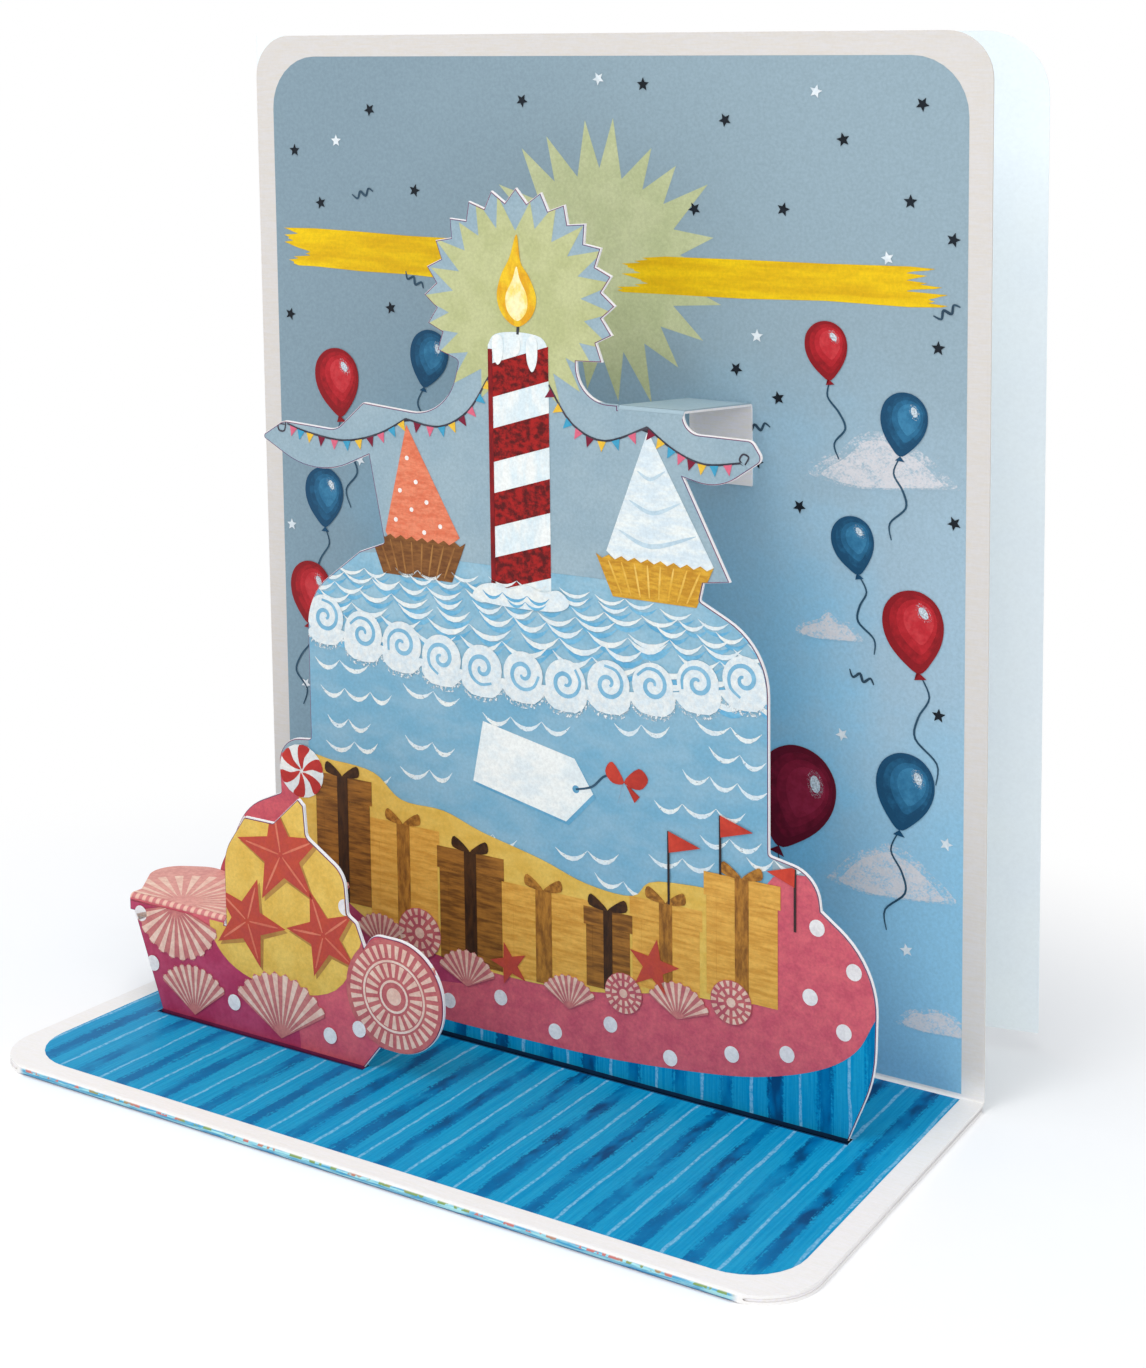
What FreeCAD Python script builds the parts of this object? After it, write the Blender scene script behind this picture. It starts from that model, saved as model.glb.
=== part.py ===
import FreeCAD, Part
import math
import os

from FreeCAD import Placement, Rotation, Vector

# Pop up card, open and standing. Millimetres, +Z up, +Y towards the back.
# The origin is the middle of the base panel's underside, where the card rests.

doc = FreeCAD.newDocument("pop_up_card")
sheet = doc.addObject("Spreadsheet::Sheet", "Sizes")

SIZES = [
    # the printed sheet: back panel, crease, base panel folded under at its front edge
    ("card_width", 150.0),
    ("back_height", 180.0),
    ("base_depth", 78.0),
    ("lean_angle", 6.5),
    ("sheet_stock", 0.45),
    ("panel_corner", 8.0),
    ("base_corner", 10.5),
    ("crease_radius", 0.3),
    ("under_ply_margin", 0.8),
    # the die-cut layers' card, and how it is folded and glued
    ("layer_stock", 0.5),
    ("fold_radius", 0.25),
    ("flap_depth", 8.0),
    ("slot_gap", 1.3),
    ("slot_clearance", 0.4),
    # how far features run into each other, and the step that the outlines' offsets count in
    ("overlap", 3.0),
    ("outline_step", 1.0),
    # the large layer
    ("cake_offset", 25.9),
    ("foot_half", 61.3),
    ("board_half", 66.4),
    ("board_top", 37.6),
    ("cake_left", 45.0),
    ("cake_right", 47.3),
    ("cake_shoulder", 79.1),
    ("rosette_across", 0.8),
    ("rosette_height", 132.5),
    ("rosette_tip", 18.9),
    ("rosette_root", 16.5),
    ("rosette_first", -30.0),
    ("rosette_fan", 240.0),
    ("rosette_pitch", 15.0),
    ("ribbon_top", 112.6),
    ("platform_height", 116.2),
    ("platform_left", 20.0),
    ("platform_right", 32.1),
    ("back_tab", 14.5),
    # the small layer
    ("front_offset", 46.0),
    ("front_foot_left", 64.1),
    ("front_foot_right", 19.3),
    ("shelf_height", 20.4),
    ("shelf_left", 71.2),
    ("shelf_right", 49.2),
    ("shelf_bulge", 7.1),
    ("shelf_tab_left", 65.2),
    ("shelf_tab", 8.0),
    ("slit_width", 0.4),
    ("disc_across", 12.8),
    ("disc_height", 14.0),
    ("disc_radius", 10.0),
    # the hidden strip behind the large layer's left side
    ("strut_stock", 0.4),
    ("strut_across", 34.0),
    ("strut_width", 12.0),
    ("strut_height", 62.0),
    ("strut_tab", 8.0),
    # the writing card behind the back panel
    ("writing_stock", 0.4),
    ("writing_angle", 10.8),
    ("writing_extra", 3.0),
    ("writing_corner", 11.5),
    ("writing_inset", 0.6),
    ("writing_drop", 1.2),
    ("spine_gap", 0.25),
]

for row, (name, value) in enumerate(SIZES, start=1):
    sheet.set("A%d" % row, name)
    sheet.set("B%d" % row, str(value))
    sheet.setAlias("B%d" % row, name)
doc.recompute()


def size(name):
    return float(sheet.get(name))


# Sizes worked out from the driving ones

LEAN = math.radians(size("lean_angle"))
COS = math.cos(LEAN)
SIN = math.sin(LEAN)
SHEET = size("sheet_stock")
LAYER = size("layer_stock")
FOLD = size("fold_radius")
HALF_WIDTH = size("card_width") / 2
CREASE_Y = size("base_depth") / 2
BASE_TOP = 2 * SHEET + LAYER
OVERLAP = size("overlap")
STEP = size("outline_step")


# Outlines of straight runs and tangent arcs

def rounded_loop(corners):
    """A closed outline through (across, up, radius) corners."""
    arcs = []
    neighbours = zip(corners, corners[-1:] + corners[:-1], corners[1:] + corners[:1])
    for here, before, after in neighbours:
        point = Vector(here[0], here[1], 0)
        radius = here[2]
        if radius == 0:
            arcs.append((point, None, point))
            continue
        back = (Vector(before[0], before[1], 0) - point).normalize()
        onward = (Vector(after[0], after[1], 0) - point).normalize()
        half = back.getAngle(onward) / 2
        reach = radius / math.tan(half)
        centre = point + (back + onward).normalize() * (radius / math.sin(half))
        middle = centre + (point - centre).normalize() * radius
        arcs.append((point + back * reach, middle, point + onward * reach))
    edges = []
    for (start, middle, end), following in zip(arcs, arcs[1:] + arcs[:1]):
        if middle is not None:
            edges.append(Part.Arc(start, middle, end))
        if end.distanceToPoint(following[0]) > 1e-6:
            edges.append(Part.LineSegment(end, following[0]))
    return edges


def around(across, up, corners):
    """Corners placed from one point of a layer, in outline steps."""
    return [(across + u * STEP, up + v * STEP, radius * STEP) for u, v, radius in corners]


def bent_strip(path, stock):
    """The edge view of a folded strip. The path is its outer face, with the inside
    radius of each fold, and the card lies to the left of the path."""
    points = [Vector(u, v, 0) for u, v, radius in path]
    headings = [(b - a).normalize() for a, b in zip(points, points[1:])]
    lefts = [Vector(-heading.y, heading.x, 0) for heading in headings]
    outer = []
    inner = []
    for index, (u, v, radius) in enumerate(path):
        before = max(index - 1, 0)
        after = min(index, len(headings) - 1)
        side = (lefts[before] + lefts[after]).normalize()
        shift = side * (stock / side.dot(lefts[after]))
        turn = headings[before].cross(headings[after]).z
        outer_radius = 0 if turn == 0 else radius + (stock if turn > 0 else 0)
        inner_radius = 0 if turn == 0 else radius + (0 if turn > 0 else stock)
        outer.append((u, v, outer_radius))
        inner.append((u + shift.x, v + shift.y, inner_radius))
    return rounded_loop(outer + inner[::-1])


# Feature helpers

def new_body(label, position, leaning):
    """A body in its own frame; a leaning one stands along the back panel."""
    body = doc.addObject("PartDesign::Body", label)
    body.Label = label
    angle = size("lean_angle") if leaning else 0
    body.Placement = Placement(Vector(*position), Rotation(Vector(1, 0, 0), angle))
    return body


def new_sketch(body, name, role, geometry, offset=Placement()):
    planes = [feature for feature in body.Origin.OriginFeatures if feature.Role == role]
    sketch = body.newObject("Sketcher::SketchObject", name)
    sketch.AttachmentSupport = [(planes[0], "")]
    sketch.MapMode = "FlatFace"
    sketch.AttachmentOffset = offset
    sketch.addGeometry(geometry, False)
    doc.recompute()
    return sketch


def pad(body, name, sketch, length, reverse=False, midplane=False):
    """Thickens a sketch; the length is an expression of the sheet's sizes."""
    feature = body.newObject("PartDesign::Pad", name)
    feature.Profile = sketch
    feature.Midplane = midplane
    feature.Reversed = reverse
    feature.setExpression("Length", length)
    doc.recompute()
    return feature


def pocket(body, name, sketch, length):
    before = body.Shape.Volume
    feature = body.newObject("PartDesign::Pocket", name)
    feature.Profile = sketch
    feature.setExpression("Length", length)
    doc.recompute()
    if not body.Shape.Volume < before:
        raise RuntimeError(name + " cuts nothing")
    return feature


def strip(body, name, path, stock, left, width):
    """A folded strip from its left side across the card; the width is an expression."""
    start = Placement(Vector(0, 0, left), Rotation())
    sketch = new_sketch(body, name + "_edge", "YZ_Plane", bent_strip(path, stock), start)
    return pad(body, name, sketch, width)


def round_corner(body, name, radius, stock, chosen):
    """Rounds the edges that run through the card's thickness where the test says so."""
    base = body.Tip
    names = []
    for number, edge in enumerate(base.Shape.Edges, start=1):
        through = abs(edge.Length - stock) < 0.001
        if through and all(chosen(vertex.Point) for vertex in edge.Vertexes):
            names.append("Edge%d" % number)
    feature = body.newObject("PartDesign::Fillet", name)
    feature.Base = (base, names)
    feature.setExpression("Radius", radius)
    doc.recompute()
    return feature


def corner_spandrel(x, y, radius, right, front):
    """The waste between a square corner and its rounding, as sketch edges."""
    over = x + right * OVERLAP
    ahead = y + front * OVERLAP
    centre = Vector(x - right * radius, y - front * radius, 0)
    side = Vector(x, centre.y, 0)
    end = Vector(centre.x, y, 0)
    middle = centre + Vector(right, front, 0).normalize() * radius
    loop = [side, Vector(over, centre.y, 0), Vector(over, ahead, 0), Vector(centre.x, ahead, 0), end]
    edges = [Part.LineSegment(a, b) for a, b in zip(loop, loop[1:])]
    return edges + [Part.Arc(end, middle, side)]


def rectangle(left, right, low, high):
    return rounded_loop([(left, low, 0), (right, low, 0), (right, high, 0), (left, high, 0)])


def flap_path(rise):
    """From the layer's front face down through its slot, then back between the two plies."""
    drop = (SHEET + LAYER) / COS
    depth = size("flap_depth")
    return [(0, rise, 0), (0, -drop, FOLD), (depth * COS, -drop - depth * SIN, 0)]


# The printed sheet

def make_scene_sheet():
    body = new_body("scene_sheet", (0, 0, 0), False)
    back = size("back_height")
    nose = BASE_TOP / 2 - SHEET
    path = [
        (CREASE_Y - back * SIN, BASE_TOP + back * COS, 0),
        (CREASE_Y, BASE_TOP, size("crease_radius")),
        (-CREASE_Y, BASE_TOP, nose),
        (-CREASE_Y, 0, nose),
        (CREASE_Y - size("under_ply_margin"), 0, 0),
    ]
    profile = new_sketch(body, "sheet_edge", "YZ_Plane", bent_strip(path, SHEET))
    pad(body, "folded_sheet", profile, "Sizes.card_width", midplane=True)

    radius = size("base_corner")
    waste = []
    for right in (-1, 1):
        waste += corner_spandrel(right * HALF_WIDTH, -CREASE_Y, radius, right, -1)
    above = Placement(Vector(0, 0, BASE_TOP + OVERLAP), Rotation())
    corners = new_sketch(body, "base_corner_waste", "XY_Plane", waste, above)
    pocket(body, "base_corners", corners, "2 * Sizes.sheet_stock + Sizes.layer_stock + 2 * Sizes.overlap")

    # each layer's foot goes down through a slot in the upper ply only
    slots = []
    feet = (
        (size("cake_offset"), -size("foot_half"), size("foot_half")),
        (size("front_offset"), -size("front_foot_left"), -size("front_foot_right")),
    )
    for offset, left, right in feet:
        face = CREASE_Y - offset
        behind = face + LAYER / COS + size("slot_clearance")
        clear = size("slot_clearance")
        slots += rectangle(left - clear, right + clear, face - size("slot_gap"), behind)
    level = Placement(Vector(0, 0, BASE_TOP), Rotation())
    slot_sketch = new_sketch(body, "slot_outlines", "XY_Plane", slots, level)
    pocket(body, "layer_slots", slot_sketch, "Sizes.sheet_stock")

    head = BASE_TOP + back * COS - OVERLAP
    edge = HALF_WIDTH - 0.01
    round_corner(body, "back_corners", "Sizes.panel_corner", SHEET,
                 lambda point: point.z > head and abs(point.x) > edge)
    return body


# The large layer

def rosette_teeth(across, up):
    """The toothed rim: tips and roots in turn, anticlockwise."""
    pitch = size("rosette_pitch")
    tips = int(size("rosette_fan") / pitch) + 1
    teeth = []
    for number in range(2 * tips - 1):
        radius = size("rosette_root") if number % 2 else size("rosette_tip")
        angle = math.radians(size("rosette_first") + number * pitch / 2)
        teeth.append((across + radius * math.cos(angle), up + radius * math.sin(angle), 0))
    return teeth


def cake_outline():
    """The die-cut outline, anticlockwise from the right end of the foot."""
    foot = size("foot_half")
    board = size("board_half")
    top = size("board_top")
    left = -size("cake_left")
    right = size("cake_right")
    shoulder = size("cake_shoulder")
    ribbon = size("ribbon_top")
    crease = size("platform_height")
    platform_left = size("platform_left")
    platform_right = size("platform_right")
    across = size("rosette_across")
    up = size("rosette_height")

    outline = [(foot, 0, 0)]
    outline += around(foot, top, [(4.6, -26.1, 24)])
    outline += around(board, top, [(0, -7.6, 16)])
    outline += around(right, top, [(9.2, -0.4, 0), (8.5, 5.5, 6), (0, 7.1, 0.6)])
    outline += around(right, shoulder, [(0, 0, 13), (-12.3, 6.1, 0.5), (-11.6, 9.1, 0), (-6.8, 9.8, 0)])
    outline += around(platform_right, ribbon, [(0, -7.3, 0)])
    outline += around(right, ribbon, [(-8.8, -8.8, 9), (-0.8, -3.2, 1.2), (-2.8, -0.2, 1.5)])
    outline += around(platform_right, ribbon, [(0, 0, 3)])
    outline += around(platform_right, crease, [(0, -1, 0)])
    outline += around(platform_left, crease, [(0, -1, 0), (0, 0, 0)])
    outline += around(across, crease, [(11.4, 0, 6)])
    outline += around(across, up, [(11.4, -9.6, 0)])
    outline += rosette_teeth(across, up)
    outline += around(across, up, [(-12.0, -11.0, 0.8)])
    outline += around(left, ribbon, [(31.0, -1.4, 9), (13.4, 0, 0.8), (7.4, -5.4, 4), (-4.5, -4.7, 3)])
    outline += around(left, ribbon, [(-9.6, -7.9, 0.6), (2.7, -14.6, 16), (14.4, -9.3, 0)])
    outline += around(left, shoulder, [(17.4, 8.7, 0.5), (12.0, 6.6, 1), (0, -2.7, 12)])
    outline += around(left, top, [(0, 11.7, 0.6), (-7.6, 10.8, 5.2), (-7.2, 0.4, 0.6)])
    outline += around(-board, top, [(6.0, -3.4, 12), (-2.2, -19.1, 9)])
    return outline + [(-foot, 0, 0)]


def make_cake_layer():
    body = new_body("cake_layer", (0, CREASE_Y - size("cake_offset"), BASE_TOP), True)
    outline = new_sketch(body, "cake_outline", "XZ_Plane", rounded_loop(cake_outline()))
    pad(body, "die_cut_card", outline, "Sizes.layer_stock", reverse=True)

    # the platform folds back at the right shoulder and its tab hangs down the back panel
    reach = size("cake_offset")
    crease = size("platform_height")
    fold_level = crease - reach * SIN
    path = [
        (reach * COS, fold_level - size("back_tab"), 0),
        (reach * COS, fold_level, FOLD),
        (0, crease, FOLD),
        (0, crease - OVERLAP, 0),
    ]
    width = "Sizes.platform_right - Sizes.platform_left"
    strip(body, "platform", path, LAYER, size("platform_left"), width)
    strip(body, "foot_flap", flap_path(OVERLAP), LAYER, -size("foot_half"), "2 * Sizes.foot_half")
    return body


# The small layer

def front_outline():
    """The die-cut outline, anticlockwise from the right end of the foot."""
    foot_right = -size("front_foot_right")
    crease = size("shelf_height")
    crease_left = -size("shelf_left")
    crease_right = -size("shelf_right")
    slit = crease_right + size("slit_width")
    across = -size("disc_across")
    radius = size("disc_radius")
    low = size("disc_height") - radius
    high = size("disc_height") + radius

    outline = [(foot_right, 0, 0)]
    outline += around(across, low, [(-3.2, 0.2, 0)])
    outline += [(across + radius, low, 0.96 * radius), (across + radius, high, 0.96 * radius)]
    outline += around(across, high, [(-4.2, 0, 3), (-6.0, -2.7, 0)])
    outline += around(crease_right, crease, [(28.8, 4.8, 1.2), (27.0, 5.9, 1), (26.5, 13.0, 5)])
    outline += around(crease_right, crease, [(18.6, 18.0, 1.5), (18.2, 23.4, 0.3), (17.0, 24.5, 0.3)])
    outline += around(crease_right, crease, [(11.5, 19.2, 0.4), (5.2, 19.2, 0.3)])
    outline += around(slit, crease, [(0, 12.2, 9), (0, -1.4, 0)])
    outline += around(crease_right, crease, [(0, -1.4, 0), (0, -1, 0)])
    outline += around(crease_left, crease, [(0.36, -1, 0)])
    return outline + [(-size("front_foot_left"), 0, 0)]


def make_front_layer():
    body = new_body("front_layer", (0, CREASE_Y - size("front_offset"), BASE_TOP), True)
    outline = new_sketch(body, "front_outline", "XZ_Plane", rounded_loop(front_outline()))
    pad(body, "die_cut_card", outline, "Sizes.layer_stock", reverse=True)

    # the shelf folds back at the left and its tab is glued to the large layer
    reach = size("front_offset") - size("cake_offset")
    crease = size("shelf_height")
    fold_level = crease - reach * SIN
    near = OVERLAP
    near_path = [(near * COS, crease - near * SIN, 0), (0, crease, FOLD), (0, crease - OVERLAP, 0)]
    tab_path = [
        (reach * COS, fold_level - size("shelf_tab"), 0),
        (reach * COS, fold_level, FOLD),
        (0, crease, FOLD),
        (0, crease - OVERLAP, 0),
    ]
    left = -size("shelf_left")
    tab_left = -size("shelf_tab_left")
    strip(body, "shelf_crease", near_path, LAYER, left, "Sizes.shelf_left - Sizes.shelf_tab_left")
    strip(body, "shelf_with_tab", tab_path, LAYER, tab_left, "Sizes.shelf_tab_left - Sizes.shelf_right")

    # its free left edge bulges out in a curve
    bulge = left - size("shelf_bulge")
    flat_end = reach - FOLD - LAYER
    plan = [(left, near, 0)]
    plan += around(tab_left, near, [(1, 0, 0)])
    plan += around(tab_left, flat_end, [(1, 0, 0), (0, 0, 0)])
    plan += around(left, reach, [(2, 0, 6)])
    plan += around(bulge, reach, [(-0.4, -5.5, 5.5)])
    level = Placement(Vector(0, 0, crease), Rotation(Vector(1, 0, 0), -size("lean_angle")))
    bulge_sketch = new_sketch(body, "shelf_plan", "XY_Plane", rounded_loop(plan), level)
    pad(body, "shelf_bulge", bulge_sketch, "Sizes.layer_stock", reverse=True)
    foot_left = -size("front_foot_left")
    foot_width = "Sizes.front_foot_left - Sizes.front_foot_right"
    strip(body, "foot_flap", flap_path(OVERLAP), LAYER, foot_left, foot_width)
    return body


# The hidden strip

def make_left_strut():
    body = new_body("left_strut", (0, CREASE_Y, BASE_TOP), True)
    stock = size("strut_stock")
    layer_back = -size("cake_offset") * COS + LAYER
    back_level = size("strut_height")
    rise = (0 - layer_back) * SIN / COS
    path = [
        (0, back_level - size("strut_tab"), 0),
        (0, back_level, FOLD),
        (layer_back, back_level + rise, FOLD),
        (layer_back, back_level + rise - size("strut_tab"), 0),
    ]
    left = -size("strut_across") - size("strut_width") / 2
    strip(body, "folded_strip", path, stock, left, "Sizes.strut_width")
    return body


# The writing card

def make_writing_card():
    body = new_body("writing_card", (0, CREASE_Y, BASE_TOP), True)
    stock = size("writing_stock")
    angle = math.radians(size("writing_angle"))
    spine = -HALF_WIDTH - stock
    glued = SHEET
    rear = glued + 2 * stock + size("spine_gap")
    reach = size("card_width") + size("writing_extra")
    path = [
        (spine + reach * math.cos(angle), rear + reach * math.sin(angle), 0),
        (spine, rear, size("spine_gap") / 2),
        (spine, glued, size("spine_gap") / 2),
        (HALF_WIDTH - size("writing_inset"), glued, 0),
    ]
    # it hangs a little below the back panel's foot, down to just above the table
    foot = Placement(Vector(0, 0, -size("writing_drop")), Rotation())
    plan = new_sketch(body, "writing_card_plan", "XY_Plane", bent_strip(path, stock), foot)
    pad(body, "folded_card", plan, "Sizes.back_height + Sizes.writing_drop")
    head = size("back_height") - 0.01
    free_edge = HALF_WIDTH - 2
    behind = glued + stock + 1
    round_corner(body, "rear_corner", "Sizes.writing_corner", stock,
                 lambda point: point.z > head and point.x > free_edge and point.y > behind)
    round_corner(body, "front_corner", "Sizes.panel_corner", stock,
                 lambda point: point.z > head and point.x > free_edge and point.y < behind)
    return body


def check(parts):
    for item in doc.Objects:
        if "Invalid" in item.State or "Error" in item.State:
            raise RuntimeError(item.Name + " failed: " + str(item.State))
    for body in parts:
        shape = body.Shape
        if shape.isNull() or not shape.isValid() or len(shape.Solids) != 1:
            raise RuntimeError(body.Label + " isn't one valid solid")


parts = [
    make_scene_sheet(),
    make_cake_layer(),
    make_front_layer(),
    make_left_strut(),
    make_writing_card(),
]
doc.recompute()
check(parts)

os.makedirs("parts", exist_ok=True)
for part in parts:
    part.Shape.exportStep("parts/%s.step" % part.Label)
    box = part.Shape.BoundBox
    print("%-13s %8.1f mm3  x %.1f %.1f  y %.1f %.1f  z %.1f %.1f" % (
        part.Label, part.Shape.Volume, box.XMin, box.XMax, box.YMin, box.YMax, box.ZMin, box.ZMax))
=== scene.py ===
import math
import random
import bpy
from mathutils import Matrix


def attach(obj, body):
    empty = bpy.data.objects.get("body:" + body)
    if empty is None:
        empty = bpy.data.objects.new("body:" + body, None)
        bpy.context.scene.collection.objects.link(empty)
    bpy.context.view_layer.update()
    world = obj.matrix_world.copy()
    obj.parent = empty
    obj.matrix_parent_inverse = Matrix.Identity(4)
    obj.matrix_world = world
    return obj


bl_info = {
    "name": "Pop up card",
    "version": (1, 0, 0),
    "blender": (4, 5, 0),
    "location": "3D View > Sidebar > Pop up card",
    "description": "Prints, finishes and stages the standing pop up card on its packed frame",
    "category": "Object",
}

import bpy
from mathutils import Matrix, Vector

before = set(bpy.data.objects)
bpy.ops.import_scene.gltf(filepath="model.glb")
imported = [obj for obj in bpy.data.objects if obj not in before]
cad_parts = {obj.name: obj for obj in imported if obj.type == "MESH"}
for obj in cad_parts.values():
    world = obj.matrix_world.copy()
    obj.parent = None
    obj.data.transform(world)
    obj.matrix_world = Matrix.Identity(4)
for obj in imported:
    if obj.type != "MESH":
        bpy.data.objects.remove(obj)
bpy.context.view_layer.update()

# The card's own places, in millimetres: each printed face stands at its foot's distance
# in front of the back panel and leans with it, or looks up at its own level
MM = 0.001
LEAN = math.radians(6.5)
CREASE_Y = 39.0
BASE_TOP = 1.4
CAKE_OFFSET = 25.9
FRONT_OFFSET = 46.0
SHELF_LEVEL = 21.67
PLATFORM_LEVEL = 116.86
SHELF_CREASE = 19.65
PLATFORM_CREASE = 115.45
# The middle between a layer's two top folds, their distance from it and their height
CAKE_FOLDS = (12.981, 12.195, 116.103)
SHELF_FOLDS = (0.8245, 9.2935, 20.919)
# The sheet's half width and height, each slot's ends, and the height of the base's white edge
HALF_WIDTH = 75
BACK_HEIGHT = 180
CAKE_SLOT = (-61.7, 61.7)
FRONT_SLOT = (-64.5, -18.9)
PLY_EDGE = 0.49
# A film of ink's thickness, the step from film to film, and the thickness of the trimming plates
INK = 0.02
INK_STEP = 0.026
TRIM = 3


def leaning_face(offset):
    """A face along the back panel: x across, y up the card, z out to the viewer."""
    foot = Matrix.Translation(Vector((0, CREASE_Y - offset, BASE_TOP)) * MM)
    return foot @ Matrix.Rotation(math.radians(90) + LEAN, 4, "X") @ Matrix.Scale(MM, 4)


def level_face(height):
    """A face that looks up: x across, y to the back."""
    return Matrix.Translation((0, 0, height * MM)) @ Matrix.Scale(MM, 4)


BACK = leaning_face(0)
CAKE = leaning_face(CAKE_OFFSET)
FRONT = leaning_face(FRONT_OFFSET)
BASE = level_face(BASE_TOP)
SHELF = level_face(SHELF_LEVEL)
PLATFORM = level_face(PLATFORM_LEVEL)


# Outlines, as lists of (x, y) in millimetres on a face

def about(x, y, radius, angle):
    """The point at a radius and an angle about a middle."""
    return (x + radius * math.cos(angle), y + radius * math.sin(angle))


def ellipse(x, y, across, up, turn=0, sides=20):
    points = []
    for i in range(sides):
        a = 2 * math.pi * i / sides
        u, v = across * math.cos(a), up * math.sin(a)
        points.append((x + u * math.cos(turn) - v * math.sin(turn),
                       y + u * math.sin(turn) + v * math.cos(turn)))
    return points


def disc(x, y, radius, sides=20):
    return ellipse(x, y, radius, radius, 0, sides)


def star(x, y, radius, inner=0.42, tips=5, turn=0):
    points = []
    for i in range(2 * tips):
        r = radius * (inner if i % 2 else 1)
        points.append(about(x, y, r, turn + math.pi / 2 + math.pi * i / tips))
    return points


def box(left, right, low, high):
    return [(left, low), (right, low), (right, high), (left, high)]


def on_curve(a, b, c, d, t):
    """Where a soft curve through a, b, c and d is, at the share t of its way from b to c."""
    square = (2 * a - 5 * b + 4 * c - d) * t * t
    cube = (3 * b - a - 3 * c + d) * t ** 3
    return 0.5 * (2 * b + (c - a) * t + square + cube)


def smooth(points, steps=5, closed=True):
    """A soft curve through the points."""
    count = len(points)
    result = []
    for i in range(count if closed else count - 1):
        near = [(i + k) % count if closed else min(max(i + k, 0), count - 1) for k in (-1, 0, 1, 2)]
        around = list(zip(*(points[k] for k in near)))
        for step in range(steps):
            result.append(tuple(on_curve(*values, step / steps) for values in around))
    if not closed:
        result.append(points[-1])
    return result


def stroke(points, width, taper=1.0, steps=5):
    """A brush or pen line along a soft path, thinner towards its ends by taper."""
    line = smooth(points, steps, closed=False)
    left, right = [], []
    for i, (x, y) in enumerate(line):
        ax, ay = line[max(i - 1, 0)]
        bx, by = line[min(i + 1, len(line) - 1)]
        length = math.hypot(bx - ax, by - ay) or 1
        share = i / (len(line) - 1)
        half = width / 2 * (1 - taper * abs(2 * share - 1) ** 2)
        half = max(half, 0.03)
        left.append((x - (by - ay) / length * half, y + (bx - ax) / length * half))
        right.append((x + (by - ay) / length * half, y - (bx - ax) / length * half))
    return left + right[::-1]


def wave(widths, dip, thick):
    """A brushed chain of hanging arcs, thick in each dip and thin at the points."""
    upper, lower = [], []
    start = -sum(widths) / 2
    for width in widths:
        for i in range(7):
            hang = 4 * (i / 6) * (1 - i / 6)
            upper.append((start + width * i / 6, -dip * hang))
            lower.append((start + width * i / 6, -dip * hang - thick * hang ** 0.8 - 0.06))
        start += width
    return upper + lower[::-1]


def moved(outline, x, y, turn=0.0, scale=1.0):
    """An outline turned, scaled and then moved."""
    c, s = math.cos(turn) * scale, math.sin(turn) * scale
    return [(x + u * c - v * s, y + u * s + v * c) for u, v in outline]


def rounded_box(left, right, low, high, low_radius, high_radius):
    """A box with round corners, each pair with its own radius."""
    corners = ((right, low, -90, low_radius), (right, high, 0, high_radius),
               (left, high, 90, high_radius), (left, low, 180, low_radius))
    points = []
    for x, y, start, radius in corners:
        if radius == 0:
            points.append((x, y))
            continue
        cx = x - radius if x == right else x + radius
        cy = y - radius if y == high else y + radius
        points += [about(cx, cy, radius, math.radians(start + 90 * i / 8)) for i in range(9)]
    return points


# Finishes

def linear(code):
    """A colour written as #rrggbb, in the renderer's linear numbers."""
    parts = [int(code[i:i + 2], 16) / 255 for i in (1, 3, 5)]
    return tuple(c / 12.92 if c <= 0.04045 else ((c + 0.055) / 1.055) ** 2.4 for c in parts) + (1.0,)


class Value:
    """A number or colour that a finish works out at each point of the card."""

    def __init__(self, nodes, socket):
        self.nodes = nodes
        self.socket = socket

    def worked(self, operation, *others):
        """This value and others put through one operation of the renderer."""
        node = self.nodes.add("ShaderNodeMath", operation=operation)
        for socket, value in zip(node.inputs, (self,) + others):
            self.nodes.feed(value, socket)
        return Value(self.nodes, node.outputs[0])

    def __add__(self, other):
        return self.worked("ADD", other)

    def __sub__(self, other):
        return self.worked("SUBTRACT", other)

    def __mul__(self, other):
        return self.worked("MULTIPLY", other)

    def __truediv__(self, other):
        return self.worked("DIVIDE", other)

    def __abs__(self):
        return self.worked("ABSOLUTE")

    def highest(self, other):
        return self.worked("MAXIMUM", other)

    def rising(self, low, high, start=0.0, end=1.0):
        """Goes softly from start to end while the value goes from low to high."""
        node = self.nodes.add("ShaderNodeMapRange", interpolation_type="SMOOTHSTEP")
        for socket, value in zip(node.inputs, (self, low, high, start, end)):
            self.nodes.feed(value, socket)
        return Value(self.nodes, node.outputs[0])

    def falling(self, low, high):
        return self.rising(low, high, 1.0, 0.0)


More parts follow.
